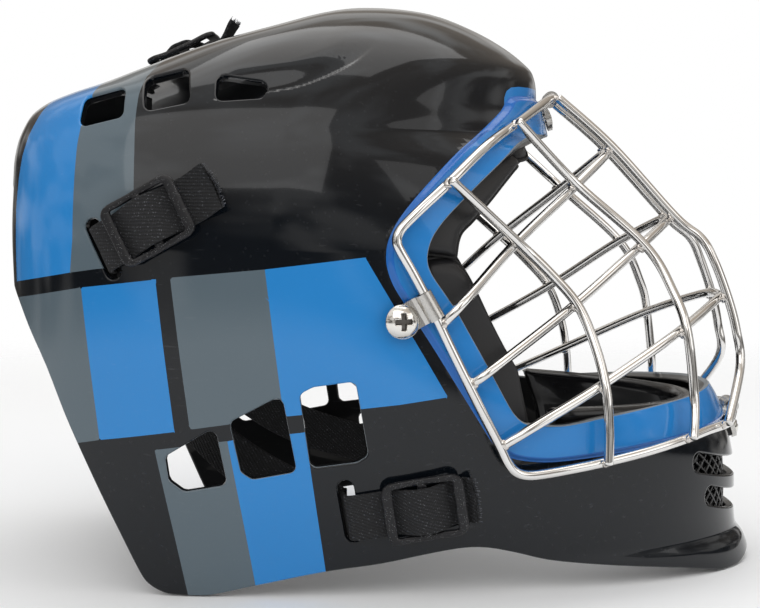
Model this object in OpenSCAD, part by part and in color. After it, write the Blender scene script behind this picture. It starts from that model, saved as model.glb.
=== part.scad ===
// Floorball goalie mask: a moulded shell, a welded wire cage on clips, foam liners,
// and a back plate that swings on webbing straps with three-bar adjusters.
// +X is forward to the cage, +Y is the wearer's left, +Z is up. The mask stands on Z = 0.

/* [Shell] */
// Wall thickness of the moulded shell
wall = 4; // [3:0.5:5]
// Half of the width over the ears
half_width = 110; // [107:1:113]
// Height of the crown
crown_height = 254; // [240:1:270]
// Reach of the chin lip in front of the origin
chin_reach = 167.5; // [165.5:0.5:169]
// Reach of the brow in front of the origin
brow_reach = 66; // [64:0.5:67]
// Reach of the back of the head behind the origin
rear_reach = 172.5; // [170:0.5:175.5]
// Half width of the opening at the back of the head
rear_opening = 61; // [58:1:64]
// Rise of the band round the face opening
band_rise = 2.5; // [1.5:0.5:3.5]

/* [Vents] */
// Corner radius of the vents
vent_round = 3; // [2:0.5:4]
// Depth of the scoop pressed in the crown
scoop_depth = 2.6; // [1.5:0.1:3]

/* [Cage] */
// Diameter of the cage wire
wire_d = 4.2; // [3.6:0.1:4.8]
// Gap between the frame wire and the band below it
wire_seat = 1.8; // [1.6:0.1:2.4]
// Half of the spacing of the centre pair at the brow
pair_half = 14; // [11:0.5:17]

/* [Clips] */
// Width of a cage clip along the wire
clip_width = 12; // [11:0.5:13]
// Thickness of the clip's sheet metal
clip_sheet = 1; // [0.8:0.1:1.2]
// Free play between a clip's loop and the wire
clip_play = 0.45; // [0.4:0.05:0.55]
// Diameter of the side screw's head
head_d = 14; // [12:0.5:15]
// Height of the side screw's head
head_h = 3.6; // [3:0.1:4.5]
// Diameter of the chin and brow screws' heads
small_head_d = 10.5; // [9:0.5:11]
// Height of the chin screw's head
small_head_h = 2.6; // [2:0.1:3]
// Diameter of the screw shanks
shank_d = 5; // [4:0.5:5.5]
// Diameter of the washers between clips and shell
washer_d = 10; // [9:0.5:10.5]
// Diameter of the nuts inside the shell
nut_d = 15; // [13:0.5:17]
// Thickness of the nuts inside the shell
nut_t = 3; // [2:0.5:4]

/* [Straps] */
// Width of the webbing
webbing_w = 20; // [18:0.5:21]
// Thickness of the webbing
webbing_t = 1.8; // [1.4:0.1:2]
// Length of an adjuster along the webbing
slider_len = 34; // [33:0.5:36]
// Thickness of an adjuster
slider_t = 2.6; // [2:0.1:3]
// Width of an adjuster's end bars
end_bar = 4.5; // [3.5:0.5:5]
// Width of an adjuster's centre bar
centre_bar = 4; // [3:0.5:4.5]
// Width of an adjuster's side rails
side_rail = 2.8; // [2.4:0.1:3.4]
// Length of a strap slot in the shell
slot_len = 27; // [25:0.5:29]
// Width of a strap slot in the shell
slot_w = 7; // [6:0.5:8]

/* [Back plate] */
// Width of the back plate
plate_w = 104; // [96:1:108]
// Height of the back plate
plate_h = 96; // [90:1:100]
// Thickness of the back plate
plate_t = 3; // [2.5:0.5:4]
// Radius to which the plate is curved
plate_bend = 92; // [85:1:110]
// Thickness of the foam on the plate
plate_pad_t = 8; // [6:0.5:10]

/* [Liners] */
// Thickness of the foam liners
liner_t = 10; // [8:0.5:12]
// Gap between a liner and the shell
liner_gap = 0.7; // [0.6:0.1:0.9]
// Thickness of the mesh behind the chin vents
mesh_t = 1.2; // [1:0.1:1.6]

/* [Hidden] */

wire_r = wire_d / 2;
far = 400;

// Level of the widest section, and the powers of the rounded sections
crown_power = 2.2;
rear_power = 3;
apex_x = -12;

// The levels in the tables below are those of a crown 254 high, and they all follow the set one
tall = crown_height / 254;
ear_place = 145;
ear_level = ear_place * tall;
function at_height(p) = [for (k = [0:len(p) - 1]) p[k] * (k == len(p) - 1 ? tall : 1)];
function at_heights(l) = [for (p = l) at_height(p)];
function by_height(t) = [for (q = t) [q[0] * tall, q[1]]];

// Reach of the front profile at each height, from the chin lip to the crown
front_profile = by_height([[-14, chin_reach + 0.5], [0, chin_reach], [5, chin_reach - 0.8],
    [10, chin_reach - 2.6], [16, chin_reach - 6.6], [24, chin_reach - 7.4], [34, chin_reach - 7.4],
    [45, chin_reach - 8], [53, chin_reach - 9.3], [60, chin_reach - 11.4], [68, chin_reach - 15.6],
    [75, chin_reach - 19], [81, chin_reach - 22.5], [100, 138], [125, 129], [150, 116], [170, 100],
    [184, 86], [190, 75.5], [194.3, brow_reach + 3.6], [198, brow_reach + 2.8], [207, brow_reach + 0.5],
    [218, brow_reach], [224, brow_reach - 1.5], [230, brow_reach - 7], [238.5, 47], [246.5, 31],
    [250.8, 19], [253.2, 4], [254, apex_x]]);
// Reach of the rear profile at each height, from the nape over the flat of the crown
rear_profile = by_height([[-14, -rear_reach + 1], [100, -rear_reach + 1], [150, -rear_reach],
    [180, -rear_reach + 1], [190, -rear_reach + 2.5], [197, -rear_reach + 5], [203, -rear_reach + 8.5],
    [208, -rear_reach + 15], [212, -148], [217, -132.5], [223.5, -115.5], [234.5, -86.5], [243.2, -56],
    [250, -34], [252.6, -22], [254, apex_x]]);
// Half width below the ears, and where along X each section is widest
width_profile = by_height([[-14, 0.815], [0, 0.84], [20, 0.87], [45, 0.912], [75, 0.951], [110, 0.988],
    [ear_place, 1]]);
widest_profile = by_height([[-14, -47], [150, -48], [190, -43], [215, -36], [240, -24], [254, apex_x]]);
// Roundness of the front of each section: lower is more pointed
front_powers = by_height([[-14, 2.1], [75, 2.1], [112, 1.85], [200, 1.75], [230, 1.85], [254, 2]]);
ring_levels = [for (z = [-12, 2, 10, 18, 31, 46, 60, 75, 92, 110, 128, 146, 163, 178, 190, 199, 206,
    211, 215, 219, 225, 231, 238, 244, 249, 252.6, 253.4]) z * tall];
around = 48;

// Smooth curve through [place, value] pairs, with no overshoot between them
function piece_of(v, t) = max([for (k = [0:len(t) - 2]) if (k == 0 || v >= t[k][0]) k]);
function secant(t, k) = (t[k + 1][1] - t[k][1]) / (t[k + 1][0] - t[k][0]);
function knot_slope(t, k) =
    k <= 0 ? secant(t, 0)
    : k >= len(t) - 1 ? secant(t, len(t) - 2)
    : let (a = secant(t, k - 1), b = secant(t, k)) a * b <= 0 ? 0 : 2 * a * b / (a + b);
function curve(v, t) =
    let (k = piece_of(v, t), h = t[k + 1][0] - t[k][0], s = min(max((v - t[k][0]) / h, 0), 1))
    t[k][1] * (1 + 2 * s) * pow(1 - s, 2) + t[k + 1][1] * s * s * (3 - 2 * s)
    + h * s * pow(1 - s, 2) * knot_slope(t, k) - h * s * s * (1 - s) * knot_slope(t, k + 1);

// The skin of the shell: rounded sections stacked in height, each with its own reach and width
function signed_power(v, p) = sign(v) * pow(abs(v), p);
function half_at(z) =
    z <= ear_level ? half_width * curve(z, width_profile)
    : half_width * pow(max(1 - pow((z - ear_level) / (crown_height - ear_level), crown_power), 0),
        1 / crown_power);
function widest_at(z) = curve(z, widest_profile);
function front_at(z) = curve(z, front_profile);
function rear_at(z) = curve(z, rear_profile);
function power_at(ahead, z) = ahead ? curve(z, front_powers) : rear_power;
function reach_at(ahead, z) = ahead ? front_at(z) - widest_at(z) : widest_at(z) - rear_at(z);
function skin_base(u, z) =
    let (c = cos(u), p = power_at(c >= 0, z))
    [widest_at(z) + reach_at(c >= 0, z) * signed_power(c, 2 / p),
        half_at(z) * signed_power(sin(u), 2 / p), z];
function unit(v) = v / norm(v);
function skin_normal(u, z) =
    let (zh = min(z + 0.4, crown_height - 0.05), zl = min(z, crown_height - 0.45) - 0.4)
    unit(cross(skin_base(u + 1, z) - skin_base(u - 1, z), skin_base(u, zh) - skin_base(u, zl)));
function skin(u, z, off = 0) = skin_base(u, z) + off * skin_normal(u, z);

// Angle of the skin at a place in the side view, and a point seated there at a given offset
function angle_at(x, z) =
    let (ahead = x >= widest_at(z))
    acos(min(max(signed_power((x - widest_at(z)) / reach_at(ahead, z), power_at(ahead, z) / 2), -1), 1));
function seated(x, z, off = 0) =
    let (n0 = skin_normal(angle_at(x, z), z), x1 = x - off * n0.x, z1 = z - off * n0.z,
        n1 = skin_normal(angle_at(x1, z1), z1), x2 = x - off * n1.x, z2 = z - off * n1.z)
    skin(angle_at(x2, z2), z2, off);

// Outlines in the side view, as [x, z]
shell_outline = at_heights([[-far / 2, 284], [-far / 2, 132], [-167, 131], [-160, 122], [-154, 112],
    [-144.6, 96], [-136, 76], [-127.2, 57], [-114.2, 29], [-105.5, 10.5], [-101.5, 4.6], [-95, 0.9],
    [-88, 0], [-77, 0], [-70, 1.2], [-56, 4.6], [-27, 10.9], [-4, 14.2], [15, 18], [30, 20.4], [41, 20.2],
    [53, 17.5], [67, 13.6], [88, 10.2], [104, 8], [118, 6], [130, 4], [141, 1.6], [148, 0], [157, 0],
    [160.5, 1.2], [164, 3.2], [chin_reach + 20, 12], [chin_reach + 20, 284]]);
// Opening at the nape as half of a rear-view outline, [y, z]
nape_outline = at_heights([[0, 198.5], [30, 196.5], [46, 189], [rear_opening - 4, 172], [rear_opening, 150],
    [rear_opening, -20]]);
face_outline = at_heights([[chin_reach + 30, 195.5], [69, 194.4], [62, 192.8], [56, 189.5], [50, 184.5],
    [44.6, 179.4], [37, 172.3], [29.5, 164.8], [23.2, 158.3], [18.7, 152.6], [16.3, 148], [15.1, 143],
    [15.5, 138.6], [17.6, 134], [22.4, 127], [27.7, 119], [33.5, 108.6], [40.5, 96], [44.8, 88],
    [48.8, 80.8], [51.4, 77], [54.2, 74.5], [58.5, 72.9], [70, 72], [78.6, 72.8], [89.6, 74.4],
    [110.4, 76.7], [131, 78.7], [143, 80.4], [chin_reach + 30, 82]]);
band_outline = at_heights([[chin_reach + 30, 210], [60, 211], [52, 209.5], [48.5, 203.5], [37.7, 192.4],
    [28.9, 184.3], [20.4, 175.3], [12.3, 166.2], [6.2, 158.5], [2.6, 152.5], [0.6, 147], [0.2, 141],
    [1.4, 135.2], [4.2, 129.2], [11.5, 117.8], [19.8, 104.8], [25.7, 95.2], [31, 86.6], [36.7, 77.2],
    [43.5, 66.2], [47, 62.2], [53, 59.4], [61.7, 58], [70.2, 57.7], [87.5, 58.8], [105.6, 60.6],
    [129, 62.9], [145, 65.3], [chin_reach + 30, 66.3]]);

// Vents as side-view corners [x, z], for the left half
crown_vents = [
    [[-128.5, 208.3], [-110.2, 212.8], [-109.3, 199.6], [-129, 195.4]],
    [[-102.3, 216.3], [-84.2, 220.4], [-81.4, 205.4], [-100.3, 201.7]],
    [[-71.3, 217], [-50.3, 215], [-51.1, 207], [-70.6, 205.8]]];
lower_vents = [
    [[-92, 60.2], [-73.2, 71.6], [-70.3, 70.2], [-66.4, 48.6], [-84.5, 45.4], [-90.8, 50]],
    [[-64.8, 75], [-43.2, 86.5], [-37.7, 54.4], [-56, 51], [-60.6, 54]],
    [[-36, 86.8], [-30.5, 89.7], [-13.4, 92], [-8.3, 61.3], [-13, 58.4], [-32, 56]]];
// Chin vents: half span round the chin, level in the middle and at the ends, half height
chin_vents = [for (v = [[28, 43, 50, 4.3], [24.5, 27.5, 34, 4.3]]) [v[0], v[1] * tall, v[2] * tall, v[3]]];
scoop_line = at_heights([[-50, 212.5], [-38, 214.5], [-26, 219], [-12, 227], [-1, 236]]);
scoop_sizes = [6, 14, 18, 14, 6];

// Straps: place of the adjuster in the side view, direction, run to the slot and free end
upper_at = at_height([-95.3, 156.7]);
upper_turn = 28;
upper_run = 23.5;
upper_tail = 13.5;
lower_at = at_height([14.3, 39.6]);
lower_turn = 9.5;
lower_run = 30.5;
lower_tail = 4.5;
lower_drop = 3;
top_at = -97;
top_run = 21;
top_tail = 11.5;
top_hump = 1.6;
slider_play = 0.3;
window_w = webbing_w + 1.6;
rail_h = webbing_t + 0.7;
loop_h = rail_h + slider_t + slider_play + webbing_t / 2;

// Frame wire: points at the brow, side-view places down the cheek, then angle and level at the chin
weld_gap = 0.3;
cage_centre = at_height([50, 0, 110]);
frame_brow = at_heights([[73, 0, 212.6], [71.2, 16, 211.6]]);
frame_side = at_heights([[52.8, 197.8], [41.8, 188.8], [32.9, 180.9], [25.3, 173.2], [14.4, 163],
    [7.5, 156.3], [4.4, 152.6], [3.4, 149], [4.7, 145], [9.5, 136.6], [14, 128.2], [18.7, 118.9],
    [23, 109.9], [27.8, 100], [32.6, 90.3], [38.8, 77.8], [45.4, 64.8], [48.2, 58.8], [51.3, 54.7],
    [55.5, 52.7], [61.4, 52.5], [74.1, 54], [90.1, 56.3], [108, 59.2], [126.5, 62.6], [138, 64.8]]);
frame_chin = at_heights([[18, 63.3], [12, 65], [6, 66.1]]);
chin_wire_level = 66.4 * tall;

// Cage welds from the middle outwards, and how far each kind of wire lies from them
top_welds = at_heights([[100, pair_half - 1, 190], [80.6, 40, 172.9], [52.4, 76, 148.5]]);
middle_welds = at_heights([[129.2, pair_half - 1.5, 158], [111.2, 42.5, 145.4], [78.9, 73, 120.9]]);
bottom_welds = at_heights([[152.7, 19, 121], [127.8, 57, 108], [89.6, 85.5, 86.8]]);
upright_lift = 0.5;
bar_lift = upright_lift - wire_d - weld_gap;

function flip(p) = [p.x, -p.y, p.z];
function reversed(l) = [for (i = [len(l) - 1:-1:0]) l[i]];
function outward(p) = unit(p - cage_centre);
function lift(p, by) = p + by * outward(p);

// Rounded run through hand-chosen points, with a number of steps between neighbours
function spline_point(a, b, c, d, s) =
    0.5 * (2 * b + (c - a) * s + (2 * a - 5 * b + 4 * c - d) * s * s
        + (3 * b - a - 3 * c + d) * s * s * s);
function spline(p, steps) =
    let (n = len(p))
    [for (i = [0:n - 2], k = [0:steps - 1])
        spline_point(p[max(i - 1, 0)], p[i], p[i + 1], p[min(i + 2, n - 1)], k / steps), p[n - 1]];
function closed_spline(p, steps) =
    let (n = len(p))
    [for (i = [0:n - 1], k = [0:steps - 1])
        spline_point(p[(i + n - 1) % n], p[i], p[(i + 1) % n], p[(i + 2) % n], k / steps)];

// Solid through stacked rings of points, open at the two ends or closed on itself
module loft(rings, looped = false) {
    m = len(rings);
    n = len(rings[0]);
    last = looped ? m - 1 : m - 2;
    polyhedron(points = [for (r = rings) each r], faces = concat(
        looped ? [] : [[for (i = [0:n - 1]) i]],
        [for (j = [0:last], i = [0:n - 1])
            let (k = (i + 1) % n, up = (j + 1) % m) each [
                [j * n + i, up * n + i, up * n + k], [j * n + i, up * n + k, j * n + k]]],
        looped ? [] : [[for (i = [n - 1:-1:0]) (m - 1) * n + i]]));
}

// Round wire along a path, its section squared to the path
module wire(path, r, looped = false, sides = 8) {
    n = len(path);
    loft([for (i = [0:n - 1])
        let (before = looped ? path[(i + n - 1) % n] : path[max(i - 1, 0)],
            after = looped ? path[(i + 1) % n] : path[min(i + 1, n - 1)],
            t = unit(after - before), o = outward(path[i]), a = unit(o - (o * t) * t),
            b = cross(t, a))
        [for (k = [0:sides - 1]) path[i] + r * (cos(360 * k / sides) * a + sin(360 * k / sides) * b)]],
        looped);
}

// Closed slab between an outer and an inner grid of points
module slab(outer, inner) {
    n = len(outer);
    m = len(outer[0]);
    size = n * m;
    edge = concat([for (i = [0:n - 1]) [i, 0]], [for (j = [1:m - 1]) [n - 1, j]],
        [for (i = [n - 2:-1:0]) [i, m - 1]], [for (j = [m - 2:-1:1]) [0, j]]);
    polyhedron(points = concat([for (r = outer) each r], [for (r = inner) each r]), faces = concat(
        [for (i = [0:n - 2], j = [0:m - 2])
            let (a = i * m + j, b = a + m, c = b + 1, d = a + 1) each [
                [a, d, c], [a, c, b], [size + a, size + c, size + d], [size + a, size + b, size + c]]],
        [for (k = [0:len(edge) - 1])
            let (e = edge[k], f = edge[(k + 1) % len(edge)], p = e[0] * m + e[1], q = f[0] * m + f[1])
                each [[p, q, size + q], [p, size + q, size + p]]]));
}

// Solid under the skin at an offset, up to the apex of the crown
module skin_solid(off) {
    loft([for (z = ring_levels) [for (i = [0:around - 1]) skin(360 * i / around, z, off)]]);
}

module side_prism(outline) {
    rotate([90, 0, 0])
        linear_extrude(height = far, center = true)
            polygon(outline);
}

// Rounded outline through corners
module soft_outline(corners, r) {
    offset(r = r) offset(delta = -r) polygon(corners);
}

// Local frame on the skin: X along a side-view direction, Z out of the shell
function place_axes(x, z, turn) =
    let (p = seated(x, z), q = seated(x + cos(turn), z + sin(turn)), n = skin_normal(angle_at(x, z), z),
        d = q - p, e = unit(d - (d * n) * n))
    [p, e, cross(n, e), n];
module put_on(axes) {
    multmatrix([
        [axes[1].x, axes[2].x, axes[3].x, axes[0].x],
        [axes[1].y, axes[2].y, axes[3].y, axes[0].y],
        [axes[1].z, axes[2].z, axes[3].z, axes[0].z]])
        children();
}
module on_both_sides() {
    children();
    mirror([0, 1, 0]) children();
}

module vent_cut(corners) {
    middle = [for (k = [0, 1]) (corners[0][k] + corners[2][k]) / 2];
    y0 = seated(middle[0], middle[1]).y;
    translate([0, y0 + 45, 0])
        rotate([90, 0, 0])
            linear_extrude(height = 90)
                soft_outline(corners, vent_round);
}

// Long slot with round ends, cut through the wall at a frame on the skin
module slot_cut(axes, long, wide, drop = 0) {
    put_on(axes)
        hull()
            for (y = [-1, 1])
                translate([0, y * (long - wide) / 2 - drop, -wall - 8])
                    cylinder(d = wide, h = wall + 16, $fn = 24);
}

upper_axes = place_axes(upper_at[0], upper_at[1], upper_turn);
lower_axes = place_axes(lower_at[0], lower_at[1], lower_turn);
function along(at, turn, s) = [at[0] + s * cos(turn), at[1] + s * sin(turn)];
upper_slot = along(upper_at, upper_turn, -upper_run);
lower_slot = along(lower_at, lower_turn, -lower_run);
upper_slot_axes = place_axes(upper_slot[0], upper_slot[1], upper_turn);
lower_slot_axes = place_axes(lower_slot[0], lower_slot[1], lower_turn);

// The crown line: height of the top of the shell on the middle plane, and a frame there
crown_line = concat([for (k = [9:len(rear_profile) - 1]) [rear_profile[k][1], rear_profile[k][0]]]);
function crown_at(x) = curve(x, crown_line);
function top_axes(x, hump = top_hump) =
    let (e = unit([2, 0, crown_at(x + 1) - crown_at(x - 1)]))
    [[x, 0, crown_at(x)] + hump * cross(e, [0, 1, 0]), e, [0, 1, 0], cross(e, [0, 1, 0])];

// Screw frames on the skin: X runs towards the wire, Z out of the shell
side_screw = at_height([4.6, 116.6]);
side_wire = at_height([16.2, 123.4]);
chin_screw_level = 58.8 * tall;
brow_screw_level = 202.8 * tall;
function front_axes(z, up) =
    let (p = skin(0, z), n = skin_normal(0, z), e = unit(cross([0, 1, 0], n)) * up)
    [p, e, cross(n, e), n];
side_axes = place_axes(side_screw[0], side_screw[1], 30.5);
chin_axes_mid = front_axes(chin_screw_level, -1);
brow_axes_mid = front_axes(brow_screw_level, -1);

module screw_hole(axes) {
    put_on(axes)
        translate([0, 0, -wall - 6])
            cylinder(d = shank_d + 0.6, h = wall + 12, $fn = 24);
}

module shell() {
    color([0.05, 0.05, 0.055])
        difference() {
            union() {
                intersection() {
                    difference() {
                        skin_solid(0);
                        skin_solid(-wall);
                    }
                    side_prism(shell_outline);
                }
                intersection() {
                    difference() {
                        skin_solid(band_rise);
                        skin_solid(-wall / 2);
                    }
                    side_prism(band_outline);
                    side_prism(shell_outline);
                }
            }
            side_prism(face_outline);
            on_both_sides()
                rotate([90, 0, -90])
                    translate([0, 0, 120])
                        linear_extrude(height = far / 2)
                            polygon(concat([[-1, -20], [-1, nape_outline[0][1]]], nape_outline));
            on_both_sides() {
                for (v = concat(crown_vents, lower_vents))
                    vent_cut(at_heights(v));
                slot_cut(upper_slot_axes, slot_len, slot_w);
                slot_cut(lower_slot_axes, slot_len, slot_w, lower_drop);
                for (k = [0:len(scoop_line) - 2])
                    scoop_cut(k);
                screw_hole(side_axes);
            }
            slot_cut(top_axes(top_at - top_run, 0), slot_len, slot_w);
            for (v = chin_vents)
                chin_vent_cut(v);
            screw_hole(chin_axes_mid);
            screw_hole(brow_axes_mid);
        }
}

// Scoop pressed in the crown ahead of the last vent
module scoop_cut(k) {
    hull()
        for (j = [k, k + 1])
            let (r = scoop_sizes[j], depth = scoop_depth * r / max(scoop_sizes))
                translate(seated(scoop_line[j][0], scoop_line[j][1], r - depth))
                    sphere(r = r, $fn = 24);
}

// Vent with round ends that wraps round the chin and sags in the middle
module chin_vent_cut(v) {
    for (k = [-4:3])
        hull()
            for (t = [k / 4, (k + 1) / 4])
                put_on(chin_axes(t * v[0], v[1] + (v[2] - v[1]) * t * t))
                    translate([0, 0, -wall - 2])
                        cylinder(r = v[3], h = wall + 8, $fn = 20);
}
function chin_axes(u, z) =
    let (n = skin_normal(u, z), e = unit(cross([0, 0, 1], n)))
    [skin(u, z), e, cross(n, e), n];

// Foam liner between two side-view edges, listed from front to rear, low edge first
module liner(low, high, thick, round_count = 4, off = -wall - liner_gap) {
    fine_low = spline(low, 2);
    fine_high = spline(high, 2);
    n = len(fine_low);
    grid = [for (i = [0:n - 1]) [for (j = [0:round_count])
        let (t = j / round_count, p = fine_low[i] * (1 - t) + fine_high[i] * t) p]];
    slab([for (r = grid) [for (p = r) seated(p[0], p[1], off)]],
        [for (i = [0:n - 1]) [for (j = [0:round_count])
            let (p = grid[i][j], rim = (i == 0 || i == n - 1 || j == 0 || j == round_count))
            seated(p[0], p[1], off - thick * (rim ? 0.55 : 1))]]);
}

// Foam liner between two levels round the front or over the crown, by angle
module wrapped_liner(angles, low, high, thick, rows = 4, off = -wall - liner_gap) {
    n = len(angles);
    grid = [for (i = [0:n - 1]) [for (j = [0:rows]) [angles[i], low[i] + (high[i] - low[i]) * j / rows]]];
    slab([for (r = grid) [for (p = r) skin(p[0], p[1], off)]],
        [for (i = [0:n - 1]) [for (j = [0:rows])
            let (p = grid[i][j], rim = (i == 0 || i == n - 1 || j == 0 || j == rows))
            skin(p[0], p[1], off - thick * (rim ? 0.55 : 1))]]);
}

forehead_span = [-28:7:28];
module forehead_pad() {
    color([0.07, 0.07, 0.075])
        wrapped_liner([for (u = forehead_span) u], [for (u = forehead_span) (192 - 0.26 * abs(u)) * tall],
            [for (u = forehead_span) (228 - 0.1 * abs(u)) * tall], liner_t);
}

module crown_pad() {
    color([0.07, 0.07, 0.075])
        slab([for (x = [30:-14:-96]) [for (y = [36:-12:-36]) crown_point(x, y, liner_gap)]],
            [for (x = [30:-14:-96]) [for (y = [36:-12:-36])
                crown_point(x, y, liner_gap + liner_t * (abs(y) > 30 || x == 30 || x == -96 ? 0.55 : 1))]]);
}
// Point under the crown at a depth below the shell's inner face
function crown_level(x, y, lo = 190 * tall, hi = crown_height, steps = 18) =
    steps == 0 ? (lo + hi) / 2
    : let (z = (lo + hi) / 2, ahead = x >= widest_at(z), p = power_at(ahead, z),
        inside = pow(abs(x - widest_at(z)) / reach_at(ahead, z), p)
            + pow(abs(y) / max(half_at(z), 0.01), p) < 1)
    inside ? crown_level(x, y, z, hi, steps - 1) : crown_level(x, y, lo, z, steps - 1);
function crown_point(x, y, depth) =
    let (p = [x, y, crown_level(x, y)], q = [x + 2, y, crown_level(x + 2, y)],
        s = [x, y + 2, crown_level(x, y + 2)], n = unit(cross(q - p, s - p)))
    p - (wall + depth) * n;

module temple_pad() {
    color([0.07, 0.07, 0.075])
        liner(at_heights([[57, 183], [45.8, 169], [36.5, 158.2], [30.6, 151.6], [28.6, 142]]),
            at_heights([[46, 192], [36, 185], [20, 172], [4, 158], [-4, 146]]), liner_t);
}
module temple_pad_left() { temple_pad(); }
module temple_pad_right() { mirror([0, 1, 0]) temple_pad(); }

module cheek_pad() {
    color([0.07, 0.07, 0.075])
        liner(at_heights([[66, 36], [50, 37], [34, 38], [17, 58]]),
            at_heights([[54.4, 94.6], [45.1, 111.5], [30, 139.8], [15, 141]]), liner_t + 2);
}
module cheek_pad_left() { cheek_pad(); }
module cheek_pad_right() { mirror([0, 1, 0]) cheek_pad(); }

// The mesh lies behind the wall, and the chin cup behind the mesh
mesh_off = -wall - liner_gap - 0.2;
module chin_cup() {
    color([0.06, 0.06, 0.065])
        wrapped_liner([for (u = [-54:9:54]) u], [for (u = [-54:9:54]) (24 + 0.1 * abs(u)) * tall],
            [for (u = [-54:9:54]) (81.5 - 0.05 * abs(u)) * tall], liner_t, 5, mesh_off - mesh_t - 0.3);
}

module chin_mesh() {
    color([0.03, 0.03, 0.03])
        wrapped_liner([for (u = [-35:7:35]) u], [for (u = [-35:7:35]) 20 * tall],
            [for (u = [-35:7:35]) 56 * tall],
            mesh_t, 5, mesh_off);
}

// Webbing in section: a run of [s, h] along the skin made into a thick band
function side_run(at, turn, axes, run) = [for (q = run)
    let (p = along(at, turn, q[0]), d = seated(p[0], p[1]) - axes[0]) [d * axes[1], d * axes[3] + q[1]]];
function top_run_points(x, axes, run) = [for (q = run)
    let (d = [x + q[0] * axes[1].x, 0, crown_at(x + q[0] * axes[1].x)] - axes[0])
    [d * axes[1], d * axes[3] + q[1]]];
function band_edge(c, t, side) = [for (i = [0:len(c) - 1])
    let (d = unit(c[min(i + 1, len(c) - 1)] - c[max(i - 1, 0)])) c[i] + side * t / 2 * [-d[1], d[0]]];
module webbing(run) {
    rotate([90, 0, 0])
        linear_extrude(height = webbing_w, center = true)
            polygon(concat(band_edge(run, webbing_t, 1), reversed(band_edge(run, webbing_t, -1))));
}

// Path of the webbing: out of the slot, under the first bar, over the centre bar, under the last
lie = webbing_t / 2 + 0.4;
half_slider = slider_len / 2;
bar_edge = half_slider - end_bar;
function strap_path(run, tail, curl = 3) = [
    [-run - 1.6, -wall - 2.4], [-run - 1.2, -wall / 2], [-run + 0.2, lie / 2],
    [(-run - half_slider) / 2, lie], [-half_slider - 1, lie], [-bar_edge + 0.8, lie],
    [-bar_edge + 3.4, lie + 1.7], [-centre_bar / 2 - 3.2, loop_h - 1], [-centre_bar / 2 - 1, loop_h - 0.1],
    [0, loop_h], [centre_bar / 2 + 1, loop_h - 0.1], [centre_bar / 2 + 3.2, loop_h - 1],
    [bar_edge - 3.4, lie + 1.7], [bar_edge - 0.8, lie], [half_slider + 1, lie + 0.1],
    [half_slider + tail * 0.45, lie + curl / 3], [half_slider + tail, lie + curl]];

module side_strap(at, turn, axes, run, tail) {
    color([0.08, 0.08, 0.085])
        put_on(axes)
            webbing(side_run(at, turn, axes, strap_path(run, tail)));
}
module upper_strap_left() { side_strap(upper_at, upper_turn, upper_axes, upper_run, upper_tail); }
module upper_strap_right() { mirror([0, 1, 0]) upper_strap_left(); }
module lower_strap_left() { side_strap(lower_at, lower_turn, lower_axes, lower_run, lower_tail); }
module lower_strap_right() { mirror([0, 1, 0]) lower_strap_left(); }
module top_strap() {
    axes = top_axes(top_at);
    color([0.08, 0.08, 0.085])
        put_on(axes)
            webbing(top_run_points(top_at, axes, [for (q = strap_path(top_run, top_tail, 6.5))
                [q[0], q[1] + (q[0] > -top_run + 1 ? top_hump : 0)]]));
}

// Three-bar adjuster: a rounded frame with two windows
module rounded(l, w, r) {
    square([l - 2 * r, w], center = true);
    square([l, w - 2 * r], center = true);
    for (x = [-1, 1], y = [-1, 1])
        translate([x * (l / 2 - r), y * (w / 2 - r)])
            circle(r = r, $fn = 32);
}
module slider() {
    window_l = slider_len / 2 - end_bar - centre_bar / 2;
    color([0.1, 0.1, 0.105])
        translate([0, 0, rail_h])
            linear_extrude(height = slider_t)
                difference() {
                    rounded(slider_len, window_w + 2 * side_rail, 3);
                    for (s = [-1, 1])
                        translate([s * (centre_bar + window_l) / 2, 0])
                            rounded(window_l, window_w, 1.2);
                }
}
module upper_slider_left() { put_on(upper_axes) slider(); }
module upper_slider_right() { mirror([0, 1, 0]) upper_slider_left(); }
module lower_slider_left() { put_on(lower_axes) slider(); }
module lower_slider_right() { mirror([0, 1, 0]) lower_slider_left(); }
module top_slider() { put_on(top_axes(top_at)) slider(); }

// Back plate: a curved panel that leans with the nape
plate_lean = 14;
plate_mid = at_height([-139, 0, 142]);
plate_slots = [[0, plate_h / 2 - 8, 180], [plate_w / 2 - 9, 12, 90],
    [plate_w / 2 - 14, -plate_h / 2 + 17, 60]];
module plate_place() {
    translate(plate_mid)
        rotate([0, plate_lean, 0])
            children();
}
module curved_panel(r, t) {
    translate([r, 0, 0])
        difference() {
            cylinder(r = r, h = far, center = true, $fn = 96);
            cylinder(r = r - t, h = far + 1, center = true, $fn = 96);
        }
}
module plate_face(w, h, r) {
    rotate([90, 0, 90])
        translate([0, 0, -1])
            linear_extrude(height = 60)
                rounded(w, h, r);
}
module back_plate() {
    color([0.07, 0.07, 0.075])
        plate_place()
            difference() {
                intersection() {
                    curved_panel(plate_bend, plate_t);
                    plate_face(plate_w, plate_h, 26);
                }
                for (m = [-1, 1], k = [1, 2])
                    plate_slot([m * plate_slots[k][0], plate_slots[k][1]], m * plate_slots[k][2]);
                plate_slot([plate_slots[0][0], plate_slots[0][1]], plate_slots[0][2]);
                for (y = [-16, 16])
                    plate_slot([y, -4], 90);
            }
}
module plate_slot(at, turn) {
    rotate([90, 0, 90])
        translate([at[0], at[1], -5])
            rotate([0, 0, turn])
                linear_extrude(height = 60)
                    rounded(webbing_w + 2, 4.4, 2);
}
module back_plate_pad() {
    color([0.09, 0.09, 0.095])
        plate_place()
            translate([plate_t + 0.3, 0, 0])
                intersection() {
                    curved_panel(plate_bend - plate_t - 0.3, plate_pad_t);
                    plate_face(plate_w - 40, plate_h - 34, 18);
                }
}

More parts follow.
